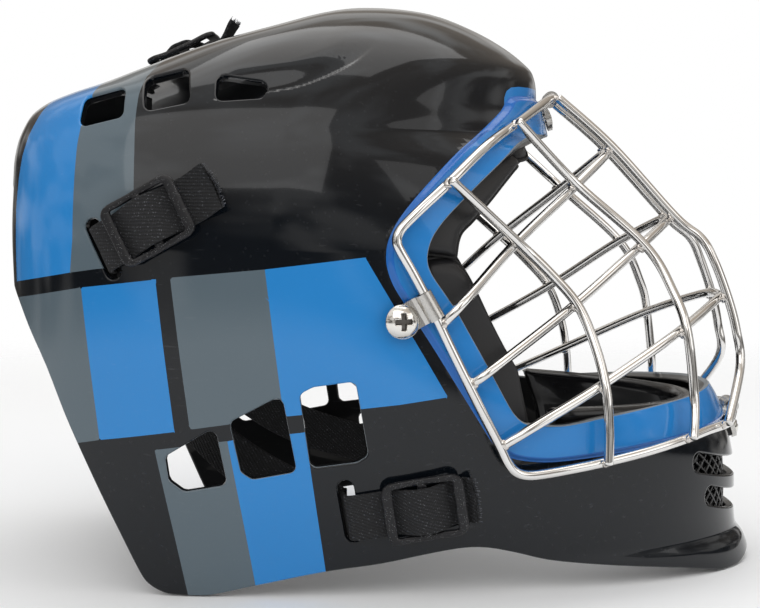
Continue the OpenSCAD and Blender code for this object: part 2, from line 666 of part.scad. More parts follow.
// Inner straps: thin bands from the slots of the shell, each passed square through its plate slot
plate_in = [cos(plate_lean), 0, -sin(plate_lean)];
plate_up = [sin(plate_lean), 0, cos(plate_lean)];
strap_shift = 0.6;
function plate_point(y, z) =
    let (x = plate_bend - sqrt(plate_bend * plate_bend - y * y))
    plate_mid + x * plate_in + [0, y, 0] + z * plate_up;
function slot_run(k) = [0, cos(plate_slots[k][2]), 0] + sin(plate_slots[k][2]) * plate_up;
function slot_bearing(k) =
    plate_point(plate_slots[k][0], plate_slots[k][1]) + strap_shift * cross(slot_run(k), plate_in);
function upwards(v) = v.z < 0 ? -v : v;
module strip(points, across, t) {
    n = len(points);
    loft([for (i = [0:n - 1])
        let (d = unit(points[min(i + 1, n - 1)] - points[max(i - 1, 0)]), w = across[i],
            a = unit(w - (w * d) * d) * webbing_w / 2, b = cross(d, unit(a)) * t / 2)
        [points[i] - a - b, points[i] + a - b, points[i] + a + b, points[i] - a + b]]);
}
function slot_start(a) = a[0] - (wall + 3.9) * a[3] - 2.2 * a[1];
module upper_strap_inner() {
    a = upper_slot_axes;
    from = slot_start(a);
    to = slot_bearing(1);
    run = slot_run(1);
    color([0.08, 0.08, 0.085])
        strip([from, from - 5 * a[3], from * 0.45 + to * 0.55 + 14 * plate_in,
            to + [0, 9, 0] + 14.5 * plate_in, to + [0, 0.8, 0] + 9 * plate_in, to + 6 * plate_in,
            to - 5 * plate_in],
            [upwards(a[2]), upwards(a[2]), run, run, run, run, run], webbing_t);
}
module upper_strap_inner_left() { upper_strap_inner(); }
module upper_strap_inner_right() { mirror([0, 1, 0]) upper_strap_inner(); }
module lower_strap_inner() {
    a = lower_slot_axes;
    from = slot_start(a);
    to = slot_bearing(2);
    run = slot_run(2);
    color([0.08, 0.08, 0.085])
        strip([from, from - 5 * a[3] - [3, 0, 0], at_height([-58, 76, 50]), at_height([-96, 62, 78]),
            to + [0, 4, -3] + 13 * plate_in, to + [0, 0.5, -0.3] + 8.5 * plate_in, to + 6 * plate_in,
            to - 5 * plate_in],
            [upwards(a[2]), upwards(a[2]), [0.1, 0, 1], [0.25, 0.2, 1], run, run, run, run], webbing_t);
}
module lower_strap_inner_left() { lower_strap_inner(); }
module lower_strap_inner_right() { mirror([0, 1, 0]) lower_strap_inner(); }
module top_strap_inner() {
    from = slot_start(top_axes(top_at - top_run, 0));
    to = slot_bearing(0);
    run = slot_run(0);
    color([0.08, 0.08, 0.085])
        strip([from, from * 0.5 + to * 0.5 + 5 * plate_in, to + 7 * plate_in + 5 * plate_up,
            to + 4.5 * plate_in + 0.6 * plate_up, to + 2 * plate_in, to - 5 * plate_in],
            [run, run, run, run, run, run], webbing_t);
}

// Cage wires. The frame stands on the clips, the bars inside the welds and the uprights outside
frame_off = band_rise + wire_seat + wire_r;
frame_left = concat([frame_brow[1]], [for (p = frame_side) seated(p[0], p[1], frame_off)],
    [for (p = frame_chin) skin(p[0], p[1], frame_off)]);
frame_front = skin(0, chin_wire_level, frame_off);
frame_path = concat([frame_brow[0]], frame_left, [frame_front],
    [for (p = reversed(frame_left)) flip(p)]);

module cage_frame() {
    color([0.75, 0.76, 0.78])
        wire(closed_spline(frame_path, 2), wire_r, true);
}

// Each bar is listed as its middle, its crossings and its run to the frame, then mirrored
module bar(middle, crossings, last) {
    half = concat([at_height(middle)], [for (p = crossings) lift(p, bar_lift)], last);
    color([0.75, 0.76, 0.78])
        wire(spline(concat([for (i = [len(half) - 1:-1:1]) flip(half[i])], half), 3), wire_r);
}
function bar_end(x, z, ex, ez) =
    let (e = seated(ex, ez * tall, frame_off + 0.7), f = seated(x, z * tall, frame_off), d = unit(e - f))
    [e, f + d * (wire_r + 0.2)];
module cage_bar_top() {
    bar([98.6, 0, 187.6], top_welds, bar_end(20.8, 114.4, 31.5, 125.6));
}
module cage_bar_middle() {
    bar([128, 0, 156.8], middle_welds, bar_end(32.6, 90.3, 44, 98.3));
}
module cage_bar_bottom() {
    bar([153.5, 0, 120.8], bottom_welds, bar_end(45.4, 64.8, 59, 72.6));
}

// Uprights end on the frame, one wire further out
module upright(points, top, low) {
    color([0.75, 0.76, 0.78])
        wire(spline(concat([top], [for (p = points) lift(p, upright_lift)], low), 3), wire_r);
}
function on_frame(x, z, off = 0) = seated(x, z * tall, frame_off + wire_d + weld_gap - off);
module cage_upright_outer_left() {
    upright([top_welds[2], at_height([66.3, 72, 135.4]), middle_welds[2], at_height([86, 79, 103.4]),
        bottom_welds[2]],
        on_frame(25.3, 173), [on_frame(91, 70, 1), on_frame(90.7, 56.3)]);
}
module cage_upright_outer_right() { mirror([0, 1, 0]) cage_upright_outer_left(); }
module cage_upright_inner_left() {
    upright([top_welds[1], middle_welds[1], at_height([122.8, 49.5, 125]), bottom_welds[1]],
        on_frame(54.5, 199), [on_frame(131.2, 78, 1), on_frame(129.6, 63.2)]);
}
module cage_upright_inner_right() { mirror([0, 1, 0]) cage_upright_inner_left(); }
module cage_upright_centre_left() {
    top = frame_brow[1] + (wire_d + weld_gap) * unit([1, 0, 0.12]);
    upright(concat([top_welds[0], middle_welds[0], at_height([141, 14.5, 148]),
        at_height([146.5, 17, 138]), bottom_welds[0]], at_heights([[156.4, 21, 106], [157.9, 23.5, 90]])),
        [top.x, pair_half, top.z],
        [on_frame(148.6, 66.8)]);
}
module cage_upright_centre_right() { mirror([0, 1, 0]) cage_upright_centre_left(); }

// Clip: sheet wrapped round the wire, with a flat pad under the screw
loop_r = wire_r + clip_play;
pad_t = 2 * clip_sheet;
side_seat = band_rise + 0.4;
chin_seat = 1.7;
brow_seat = band_rise + 0.8;
side_wire_at = seated(side_wire[0], side_wire[1], frame_off);
module clip(axes, wire_at, seat, head) {
    w = [(wire_at - axes[0]) * axes[1], (wire_at - axes[0]) * axes[3]];
    flat = head / 2 + 0.4;
    color([0.72, 0.73, 0.75])
        put_on(axes)
            difference() {
                union() {
                    rotate([90, 0, 0])
                        linear_extrude(height = clip_width, center = true) {
                            polygon([[0, seat], [flat, seat], [w.x, w.y - 0.8], [w.x, w.y + 1.2],
                                [flat, seat + pad_t], [0, seat + pad_t]]);
                            translate(w) circle(r = loop_r + clip_sheet, $fn = 48);
                        }
                    translate([0, 0, seat]) cylinder(d = clip_width, h = pad_t, $fn = 48);
                }
                rotate([90, 0, 0])
                    translate([w.x, w.y, -far / 2]) cylinder(r = loop_r, h = far, $fn = 48);
                translate([0, 0, seat - 1]) cylinder(d = shank_d + 0.6, h = pad_t + 2, $fn = 32);
            }
}
module side_clip_left() { clip(side_axes, side_wire_at, side_seat, head_d); }
module side_clip_right() { mirror([0, 1, 0]) side_clip_left(); }
module brow_clip() { clip(brow_axes_mid, frame_brow[0], brow_seat, small_head_d); }
module chin_clip() { clip(chin_axes_mid, frame_front, chin_seat, small_head_d); }

// Screw with a domed head on a clip that is held at the given seat
module screw(seat, d, h, depth) {
    base = seat + pad_t + 0.05;
    dome_r = (d * d / 4 + h * h) / (2 * h);
    rotate_extrude($fn = 48)
        polygon(concat([[0, -depth], [shank_d / 2, -depth], [shank_d / 2, base]],
            [for (k = [0:5])
                let (r = d / 2 * cos(18 * k)) [r, base + h - dome_r + sqrt(dome_r * dome_r - r * r)]]));
}
module clip_screws() {
    color([0.78, 0.78, 0.8]) {
        on_both_sides()
            put_on(side_axes) screw(side_seat, head_d, head_h, wall + nut_t + 1);
        put_on(chin_axes_mid) screw(chin_seat, small_head_d, small_head_h, wall - 0.4);
        put_on(brow_axes_mid) screw(brow_seat, small_head_d, 1, wall - 0.4);
    }
}
module washer(seat) {
    translate([0, 0, 0.2])
        difference() {
            cylinder(d = washer_d, h = seat - 0.3, $fn = 48);
            translate([0, 0, -1]) cylinder(d = shank_d + 0.6, h = seat + 2, $fn = 32);
        }
}
module clip_washers() {
    color([0.12, 0.12, 0.12]) {
        on_both_sides()
            put_on(side_axes) washer(side_seat);
        put_on(chin_axes_mid) washer(chin_seat);
    }
}
module clip_nuts() {
    color([0.6, 0.6, 0.62])
        on_both_sides()
            put_on(side_axes)
                translate([0, 0, -wall - 0.4 - nut_t])
                    difference() {
                        cylinder(d = nut_d, h = nut_t, $fn = 48);
                        translate([0, 0, -1]) cylinder(d = shank_d + 0.4, h = nut_t + 2, $fn = 32);
                    }
}

shell();
forehead_pad();
crown_pad();
temple_pad_left();
temple_pad_right();
cheek_pad_left();
cheek_pad_right();
chin_cup();
chin_mesh();
back_plate();
back_plate_pad();
top_strap();
upper_strap_left();
upper_strap_right();
lower_strap_left();
lower_strap_right();
top_strap_inner();
upper_strap_inner_left();
upper_strap_inner_right();
lower_strap_inner_left();
lower_strap_inner_right();
top_slider();
upper_slider_left();
upper_slider_right();
lower_slider_left();
lower_slider_right();
cage_frame();
cage_bar_top();
cage_bar_middle();
cage_bar_bottom();
cage_upright_outer_left();
cage_upright_outer_right();
cage_upright_inner_left();
cage_upright_inner_right();
cage_upright_centre_left();
cage_upright_centre_right();
side_clip_left();
side_clip_right();
brow_clip();
chin_clip();
clip_screws();
clip_washers();
clip_nuts();
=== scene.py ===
# Looks of a floorball goalie mask: painted shell, chrome cage, webbing and foam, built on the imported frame.
# Lengths are in millimetres until a mesh is made, where they become metres. +X is forward, +Z is up.
import math
from functools import partialmethod

import bpy
import numpy as np
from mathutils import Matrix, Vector


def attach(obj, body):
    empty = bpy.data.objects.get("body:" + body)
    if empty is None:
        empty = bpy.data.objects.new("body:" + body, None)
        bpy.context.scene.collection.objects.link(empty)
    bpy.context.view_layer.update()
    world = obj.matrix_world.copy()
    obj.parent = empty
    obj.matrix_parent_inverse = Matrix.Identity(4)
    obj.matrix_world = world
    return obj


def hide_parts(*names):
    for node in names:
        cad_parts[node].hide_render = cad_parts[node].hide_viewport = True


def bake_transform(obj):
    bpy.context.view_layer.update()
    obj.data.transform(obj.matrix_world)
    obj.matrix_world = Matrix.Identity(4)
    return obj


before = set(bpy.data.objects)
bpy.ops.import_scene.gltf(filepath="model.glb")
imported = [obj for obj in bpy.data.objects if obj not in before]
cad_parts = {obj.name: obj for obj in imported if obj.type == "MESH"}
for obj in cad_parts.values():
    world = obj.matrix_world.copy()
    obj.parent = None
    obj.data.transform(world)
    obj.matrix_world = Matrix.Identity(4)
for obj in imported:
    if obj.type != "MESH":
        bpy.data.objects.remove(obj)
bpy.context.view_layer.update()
toMetres = 0.001
print("stage: frame loaded")

# The shell's skin is given by its reach ahead, its reach behind and its width at each height
shell = {"wall": 4.0, "halfWidth": 110.0, "crown": 254.0, "chin": 167.5, "brow": 66.0, "rear": 172.5,
         "nape": 61.0, "bandRise": 2.5, "ear": 145.0, "crownPower": 2.2, "rearPower": 3.0, "apex": -12.0,
         "gap": 0.7}


class Curve:
    # Smooth curve through pairs of place and value, with no overshoot between them
    def __init__(self, pairs):
        self.at, self.value = np.array(pairs, float).T
        step = np.diff(self.value) / np.diff(self.at)
        a, b = step[:-1], step[1:]
        total = np.where(a + b == 0, 1.0, a + b)
        middle = np.where(a * b <= 0, 0.0, 2 * a * b / total)
        self.slope = np.concatenate([step[:1], middle, step[-1:]])

    def __call__(self, v):
        k = np.clip(np.searchsorted(self.at, v, side="right") - 1, 0, len(self.at) - 2)
        h = self.at[k + 1] - self.at[k]
        s = np.clip((v - self.at[k]) / h, 0, 1)
        return (self.value[k] * (1 + 2 * s) * (1 - s) ** 2 + self.value[k + 1] * s * s * (3 - 2 * s)
                + h * s * (1 - s) ** 2 * self.slope[k] - h * s * s * (1 - s) * self.slope[k + 1])


chin, brow, rear = shell["chin"], shell["brow"], shell["rear"]
frontReach = Curve([(-14, chin + 0.5), (0, chin), (5, chin - 0.8), (10, chin - 2.6), (16, chin - 6.6),
                    (24, chin - 7.4), (34, chin - 7.4), (45, chin - 8), (53, chin - 9.3), (60, chin - 11.4),
                    (68, chin - 15.6), (75, chin - 19), (81, chin - 22.5), (100, 138), (125, 129), (150, 116),
                    (170, 100), (184, 86), (190, 75.5), (194.3, brow + 3.6), (198, brow + 2.8),
                    (207, brow + 0.5), (218, brow), (224, brow - 1.5), (230, brow - 7), (238.5, 47),
                    (246.5, 31), (250.8, 19), (253.2, 4), (254, shell["apex"])])
rearReach = Curve([(-14, 1 - rear), (100, 1 - rear), (150, -rear), (180, 1 - rear), (190, 2.5 - rear),
                   (197, 5 - rear), (203, 8.5 - rear), (208, 15 - rear), (212, -148), (217, -132.5),
                   (223.5, -115.5), (234.5, -86.5), (243.2, -56), (250, -34), (252.6, -22),
                   (254, shell["apex"])])
widthShare = Curve([(-14, 0.815), (0, 0.84), (20, 0.87), (45, 0.912), (75, 0.951), (110, 0.988), (145, 1)])
widestPlace = Curve([(-14, -47), (150, -48), (190, -43), (215, -36), (240, -24), (254, shell["apex"])])
frontPower = Curve([(-14, 2.1), (75, 2.1), (112, 1.85), (200, 1.75), (230, 1.85), (254, 2)])


def unit(v):
    return v / np.maximum(np.linalg.norm(v, axis=-1, keepdims=True), 1e-12)


def signedPower(v, p):
    return np.sign(v) * np.abs(v) ** p


def halfWidth(z):
    top = np.clip((z - shell["ear"]) / (shell["crown"] - shell["ear"]), 0, 1)
    p = shell["crownPower"]
    return shell["halfWidth"] * np.where(z <= shell["ear"], widthShare(z),
                                         np.maximum(1 - top ** p, 0) ** (1 / p))


def section(ahead, z):
    # Middle, reach and power of the section's front or rear half at a height
    middle = widestPlace(z)
    reach = np.where(ahead, frontReach(z) - middle, middle - rearReach(z))
    return middle, reach, np.where(ahead, frontPower(z), shell["rearPower"])


def skinBase(u, z):
    u, z = np.broadcast_arrays(np.asarray(u, float), np.asarray(z, float))
    c, s = np.cos(np.radians(u)), np.sin(np.radians(u))
    middle, reach, p = section(c >= 0, z)
    return np.stack([middle + reach * signedPower(c, 2 / p), halfWidth(z) * signedPower(s, 2 / p), z], -1)


def slopes(point, u, z, steps=None):
    # Change of a point around and upward, over a step in degrees and one in height that stays below the crown
    du, dz, highLimit, lowLimit = steps or fineSteps
    high = np.minimum(z + dz, shell["crown"] - highLimit)
    low = np.minimum(z, shell["crown"] - lowLimit) - dz
    return point(u + du, z) - point(u - du, z), point(u, high) - point(u, low)


coarseSteps, fineSteps = (1.0, 0.4, 0.05, 0.45), (0.15, 0.12, 0.01, 0.15)


def skinNormal(u, z):
    return unit(np.cross(*slopes(skinBase, u, z, coarseSteps)))


def skin(u, z, off=0.0):
    return skinBase(u, z) + np.asarray(off)[..., None] * skinNormal(u, z)


def angleAt(x, z):
    middle, reach, p = section(x >= widestPlace(z), z)
    return np.degrees(np.arccos(np.clip(signedPower((x - middle) / reach, p / 2), -1, 1)))


def seated(x, z, off=0.0):
    # Point at an offset from the skin that shows at (x, z) in the side view, on the wearer's left
    x, z = np.asarray(x, float), np.asarray(z, float)
    off = np.asarray(off, float)
    a, b = x, z
    for _ in range(2):
        n = skinNormal(angleAt(a, b), b)
        a, b = x - off * n[..., 0], z - off * n[..., 2]
    return skin(angleAt(a, b), b, off)


def placeAxes(x, z, turn):
    # Frame on the skin: place, direction along the side view, direction across and outward normal
    p, n = seated(x, z), skinNormal(angleAt(x, z), z)
    d = seated(x + math.cos(math.radians(turn)), z + math.sin(math.radians(turn))) - p
    e = unit(d - np.dot(d, n) * n)
    return np.array([p, e, np.cross(n, e), n])


def frontAxes(z, up):
    n = skinNormal(0.0, z)
    e = unit(np.cross([0, 1, 0], n)) * up
    return np.array([skin(0.0, z), e, np.cross(n, e), n])


def put(axes, local):
    # Points given as (along, across, out) in a frame
    local = np.asarray(local, float)
    return axes[0] + local[..., :1] * axes[1] + local[..., 1:2] * axes[2] + local[..., 2:3] * axes[3]


def flip(points):
    return np.asarray(points, float) * [1, -1, 1]


def spline(points, steps, closed=False):
    # Rounded run through given points
    p = np.array(points, float)
    n = len(p)
    s = (np.arange(steps) / steps)[None, :, None]
    i = np.arange(n if closed else n - 1)
    pick = (lambda k: p[k % n][:, None]) if closed else (lambda k: p[np.clip(k, 0, n - 1)][:, None])
    a, b, c, d = pick(i - 1), pick(i), pick(i + 1), pick(i + 2)
    run = 0.5 * (2 * b + (c - a) * s + (2 * a - 5 * b + 4 * c - d) * s ** 2 + (3 * b - a - 3 * c + d) * s ** 3)
    run = run.reshape(-1, p.shape[1])
    return run if closed else np.vstack([run, p[-1:]])


def smoothStep(v, low, high):
    s = np.clip((v - low) / (high - low), 0, 1)
    return s * s * (3 - 2 * s)


def runLength(path):
    # Length along a path at each of its points
    return np.concatenate([[0], np.cumsum(np.linalg.norm(np.diff(path, axis=0), axis=1))])


def segmentDistance(points, a, b):
    # Distance from points to a segment, and the share of its length at which it is nearest
    d, q = b - a, points - a
    t = np.clip(q @ d / max(d @ d, 1e-12), 0, 1)
    return np.linalg.norm(q - t[:, None] * d, axis=1), t


def polylineDistance(points, run):
    return np.min([segmentDistance(points, a, b)[0] for a, b in zip(run[:-1], run[1:])], axis=0)


def drawnIn(corners, by):
    # Outline with every edge moved inward
    c = np.array(corners, float)
    d = unit(np.roll(c, -1, axis=0) - c)
    turn = np.sign(np.sum(c[:, 0] * np.roll(c[:, 1], -1) - c[:, 1] * np.roll(c[:, 0], -1)))
    after = turn * np.stack([-d[:, 1], d[:, 0]], -1)
    before = np.roll(after, 1, axis=0)
    return c + by * (before + after) / (1 + np.sum(before * after, axis=1, keepdims=True))


def outlineDistance(points, corners, soft=0.0):
    # Signed distance from 2D points to a closed outline, less than zero inside, with rounded corners
    c = drawnIn(corners, soft) if soft else np.array(corners, float)
    inside = np.zeros(len(points), bool)
    for a, b in zip(c, np.roll(c, -1, axis=0)):
        crossed = (a[1] > points[:, 1]) != (b[1] > points[:, 1])
        rise = b[1] - a[1] if b[1] != a[1] else 1e-12
        inside ^= crossed & (points[:, 0] < a[0] + (points[:, 1] - a[1]) * (b[0] - a[0]) / rise)
    best = polylineDistance(points, np.vstack([c, c[:1]]))
    return np.where(inside, -best, best) - soft


# Openings and edges in the side view, as in the CAD source
far, napeFrom = 400, -118
lowerEdge = [(-167, 131), (-160, 122), (-154, 112), (-144.6, 96), (-136, 76), (-127.2, 57), (-114.2, 29),
             (-105.5, 10.5), (-101.5, 4.6), (-95, 0.9), (-88, 0), (-77, 0), (-70, 1.2), (-56, 4.6),
             (-27, 10.9), (-4, 14.2), (15, 18), (30, 20.4), (41, 20.2), (53, 17.5), (67, 13.6), (88, 10.2),
             (104, 8), (118, 6), (130, 4), (141, 1.6), (148, 0), (157, 0), (160.5, 1.2), (164, 3.2)]
shellOutline = ([(-200, far), (-200, 132)] + spline(lowerEdge, 3).tolist()
                + [(chin + 20, 12), (chin + 20, far)])
napeHalf = [(0, 198.5), (30, 196.5), (46, 189), (shell["nape"] - 4, 172), (shell["nape"], 150),
            (shell["nape"], -20)]
napeOutline = spline(napeHalf, 4).tolist() + spline([(-a, b) for a, b in napeHalf[::-1]], 4).tolist()
faceRun = [(69, 194.4), (62, 192.8), (56, 189.5), (50, 184.5), (44.6, 179.4), (37, 172.3), (29.5, 164.8),
           (23.2, 158.3), (18.7, 152.6), (16.3, 148), (15.1, 143), (15.5, 138.6), (17.6, 134), (22.4, 127),
           (27.7, 119), (33.5, 108.6), (40.5, 96), (44.8, 88), (48.8, 80.8), (51.4, 77), (54.2, 74.5),
           (58.5, 72.9), (70, 72), (78.6, 72.8), (89.6, 74.4), (110.4, 76.7), (131, 78.7), (143, 80.4)]
faceOutline = [(chin + 30, 195.5)] + spline(faceRun, 3).tolist() + [(chin + 30, 82)]
bandRun = [(60, 211), (52, 209.5), (48.5, 203.5), (37.7, 192.4), (28.9, 184.3), (20.4, 175.3), (12.3, 166.2),
           (6.2, 158.5), (2.6, 152.5), (0.6, 147), (0.2, 141), (1.4, 135.2), (4.2, 129.2), (11.5, 117.8),
           (19.8, 104.8), (25.7, 95.2), (31, 86.6), (36.7, 77.2), (43.5, 66.2), (47, 62.2), (53, 59.4),
           (61.7, 58), (70.2, 57.7), (87.5, 58.8), (105.6, 60.6), (129, 62.9), (145, 65.3)]
bandOutline = [(chin + 30, 210)] + spline(bandRun, 3).tolist() + [(chin + 30, 66.3)]
vents = [[(-128.5, 208.3), (-110.2, 212.8), (-109.3, 199.6), (-129, 195.4)],
         [(-102.3, 216.3), (-84.2, 220.4), (-81.4, 205.4), (-100.3, 201.7)],
         [(-71.3, 217), (-50.3, 215), (-51.1, 207), (-70.6, 205.8)],
         [(-92, 60.2), (-73.2, 71.6), (-70.3, 70.2), (-66.4, 48.6), (-84.5, 45.4), (-90.8, 50)],
         [(-64.8, 75), (-43.2, 86.5), (-37.7, 54.4), (-56, 51), (-60.6, 54)],
         [(-36, 86.8), (-30.5, 89.7), (-13.4, 92), (-8.3, 61.3), (-13, 58.4), (-32, 56)]]
ventRound = 3.0
# Chin vents: half span in degrees, height in the middle and at the ends, radius
chinVents = [(28, 43, 50, 4.3), (24.5, 27.5, 34, 4.3)]
strapSlot = {"long": 27.0, "wide": 7.0, "lowerDrop": 3.0, "through": 20.0, "elsewhere": 50.0}

# Adjusters: place in the side view, turn, run back to the slot and free end
upperAt, upperTurn, upperRun, upperTail = (-95.3, 156.7), 28.0, 23.5, 13.5
lowerAt, lowerTurn, lowerRun, lowerTail = (14.3, 39.6), 9.5, 30.5, 4.5
topAt, topRun, topTail, topHump = -97.0, 21.0, 11.5, 1.6


def alongSide(at, turn, s):
    return at[0] + s * math.cos(math.radians(turn)), at[1] + s * math.sin(math.radians(turn))


upperAxes, lowerAxes = placeAxes(*upperAt, upperTurn), placeAxes(*lowerAt, lowerTurn)
upperSlotAxes = placeAxes(*alongSide(upperAt, upperTurn, -upperRun), upperTurn)
lowerSlotAxes = placeAxes(*alongSide(lowerAt, lowerTurn, -lowerRun), lowerTurn)
crownLine = Curve([(x, z) for z, x in zip(rearReach.at[9:], rearReach.value[9:])])


def topPoint(x):
    return np.array([x, 0, crownLine(x)])


def topAxes(x, hump=topHump):
    e = unit(topPoint(x + 1) - topPoint(x - 1))
    n = np.cross(e, [0, 1, 0])
    return np.array([topPoint(x) + hump * n, e, [0, 1, 0], n])


def slotDistance(points, axes, drop=0.0):
    d = points - axes[0]
    across = np.maximum(np.abs(d @ axes[2] + drop) - (strapSlot["long"] - strapSlot["wide"]) / 2, 0)
    distance = np.hypot(d @ axes[1], across) - strapSlot["wide"] / 2
    return np.where(np.abs(d @ axes[3]) < strapSlot["through"], distance, strapSlot["elsewhere"])


def keepDistance(u, z):
    # How far inside the shell's material a place on the skin lies, less than zero in an opening
    base = skinBase(u, z)
    side, back = base[:, [0, 2]], base[:, [1, 2]]
    keep = [-outlineDistance(side, shellOutline), outlineDistance(side, faceOutline),
            np.where(base[:, 0] < napeFrom, outlineDistance(back, napeOutline), np.inf),
            slotDistance(base, upperSlotAxes), slotDistance(base, lowerSlotAxes, strapSlot["lowerDrop"]),
            slotDistance(base, topAxes(topAt - topRun, 0))]
    keep += [outlineDistance(side, v, ventRound) for v in vents]
    t = np.linspace(-1, 1, 17)
    keep += [polylineDistance(base, skin(t * span, middle + (end - middle) * t * t)) - r
             for span, middle, end, r in chinVents]
    return np.min(keep, axis=0)


def bandDistance(u, z):
    return -outlineDistance(skinBase(u, z)[:, [0, 2]], bandOutline)


# Scoop pressed in the crown ahead of the last vent: sharp along its lower edge, fading upward
scoop = {"depth": 2.6, "width": 13.0, "rise": 2.0, "above": 195, "fadeFrom": 0.4, "inside": 0.8}
scoopCrease = spline([(-60, 207.6), (-48, 209.4), (-37.1, 211.5), (-27.9, 215), (-19.8, 218.7), (-12.6, 223.4),
                      (-4.1, 231.7)], 4)


def scoopShift(base):
    p, each = base[:, [0, 2]], np.arange(len(base))
    near = np.array([segmentDistance(p, a, b) for a, b in zip(scoopCrease[:-1], scoopCrease[1:])])
    k = np.argmin(near[:, 0], axis=0)
    gap, t = near[k, 0, each], near[k, 1, each]
    d, q = np.diff(scoopCrease, axis=0)[k], p - scoopCrease[k]
    length = runLength(scoopCrease)
    share = (length[k] + t * (length[k + 1] - length[k])) / length[-1]
    along = 1 - smoothStep(share, scoop["fadeFrom"], 1.0)
    above = smoothStep(gap, 0, scoop["rise"]) * (1 - smoothStep(gap, scoop["rise"], scoop["width"]))
    raised = d[:, 0] * q[:, 1] - d[:, 1] * q[:, 0] > 0
    return scoop["depth"] * along * np.where(raised, above, 0) * (base[:, 2] > scoop["above"])


def newMesh(name, points, faces, materials, which=None, normals=None, uv=None, body="mask"):
    # Object from points in millimetres and a list of arrays of triangles or quads
    groups = [np.asarray(f, int) for f in faces if len(f)]
    mesh = bpy.data.meshes.new(name)
    counts = np.concatenate([np.full(len(g), g.shape[1]) for g in groups])
    corners = np.concatenate([g.ravel() for g in groups])
    mesh.vertices.add(len(points))
    mesh.vertices.foreach_set("co", (np.asarray(points, float) * toMetres).ravel())
    mesh.loops.add(len(corners))
    mesh.loops.foreach_set("vertex_index", corners)
    mesh.polygons.add(len(counts))
    mesh.polygons.foreach_set("loop_start", np.concatenate([[0], np.cumsum(counts)[:-1]]))
    mesh.update(calc_edges=True)
    for m in materials:
        mesh.materials.append(m)
    if which is not None:
        mesh.polygons.foreach_set("material_index", np.asarray(which, int))
    mesh.polygons.foreach_set("use_smooth", np.full(len(counts), True))
    if uv is not None:
        layer = mesh.uv_layers.new(name="run")
        layer.data.foreach_set("uv", (np.asarray(uv, float)[corners] * toMetres).ravel())
    if normals is not None:
        mesh.normals_split_custom_set_from_vertices(np.asarray(normals, float).tolist())
    mesh.validate()
    mesh.update()
    o = bpy.data.objects.new(name, mesh)
    bpy.context.scene.collection.objects.link(o)
    if body:
        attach(o, body)
    return o


def dress(cadNode):
    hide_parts(cadNode)


def gridFaces(rows, columns, wrapRows=False, wrapColumns=False):
    i = np.arange(rows if wrapRows else rows - 1)[:, None]
    j = np.arange(columns if wrapColumns else columns - 1)[None, :]
    a, b = i * columns + j, i * columns + (j + 1) % columns
    up = (i + 1) % rows
    c, d = up * columns + (j + 1) % columns, up * columns + j
    return np.stack([a, b, c, d], -1).reshape(-1, 4)


def closedRings(rings):
    # Points and faces of stacked rings, with a centre point at each end
    n, m = rings.shape[:2]
    points = np.vstack([rings.reshape(-1, 3), rings[0].mean(0), rings[-1].mean(0)])
    k, base = np.arange(m), (n - 1) * m
    caps = np.concatenate([np.stack([np.full(m, n * m), (k + 1) % m, k], -1),
                           np.stack([np.full(m, n * m + 1), base + k, base + (k + 1) % m], -1)])
    return points, [gridFaces(n, m, wrapColumns=True), caps]


class Pieces:
    # Several parts gathered in one mesh
    def __init__(self):
        self.points, self.faces, self.uv, self.which, self.count = [], [], [], [], 0

    def add(self, points, faces, uv=None, which=0):
        points = np.asarray(points, float).reshape(-1, 3)
        faces = [np.asarray(f, int) for f in (faces if isinstance(faces, list) else [faces])]
        corners = points - points.mean(0)
        volume = sum(np.sum(corners[f[:, 0]] * np.cross(corners[f[:, k]], corners[f[:, k + 1]]))
                     for f in faces for k in range(1, f.shape[1] - 1))
        for f, number in zip(faces, which if isinstance(which, list) else [which] * len(faces)):
            if volume < -1e-6:
                f = f[:, ::-1]
            if f.shape[1] == 3:
                f = np.concatenate([f, f[:, 2:]], axis=1)
            self.faces.append(f + self.count)
            self.which.append(np.full(len(f), number))
        self.points.append(points)
        self.uv.append(np.zeros((len(points), 2)) if uv is None else np.asarray(uv, float).reshape(-1, 2))
        self.count += len(points)

    def mirrored(self):
        # The same parts on the wearer's other side
        other = Pieces()
        for points, uv in zip(self.points, self.uv):
            other.points.append(flip(points))
            other.uv.append(uv)
        for f in self.faces:
            flat = (f[:, 2] == f[:, 3])[:, None]
            other.faces.append(np.where(flat, f[:, [0, 2, 1, 1]], f[:, ::-1]))
        other.which, other.count = self.which[:], self.count
        return other

    def onSide(self, cadNode):
        return self.mirrored() if cadNode.endswith("right") else self

    def merge(self, other):
        self.faces += [f + self.count for f in other.faces]
        self.points, self.uv, self.which = self.points + other.points, self.uv + other.uv, self.which + other.which
        self.count += other.count

    def build(self, cadNode, materials, slotName=None, body="mask"):
        # Object that replaces a node and is named after it: back_plate_pad is shown as backPlatePad
        used, faces = np.unique(np.concatenate(self.faces), return_inverse=True)
        faces, which = faces.reshape(-1, 4), np.concatenate(self.which)
        flat = faces[:, 2] == faces[:, 3]
        first, *others = cadNode.split("_")
        o = newMesh(first + "".join(word.title() for word in others), np.concatenate(self.points)[used],
                    [faces[~flat], faces[flat][:, :3]], materials, np.concatenate([which[~flat], which[flat]]),
                    uv=np.concatenate(self.uv)[used], body=body)
        if slotName:
            dress(cadNode)
        return o


def pathFrames(path, hint):
    # Tangent and two square directions at each point, the first kept close to the hint
    t = unit(np.gradient(path, axis=0))
    a = unit(hint - np.sum(hint * t, axis=1, keepdims=True) * t)
    return t, a, np.cross(t, a)


def steady(v):
    # The same hint at every point of a path
    return lambda path: np.tile(v, (len(path), 1))


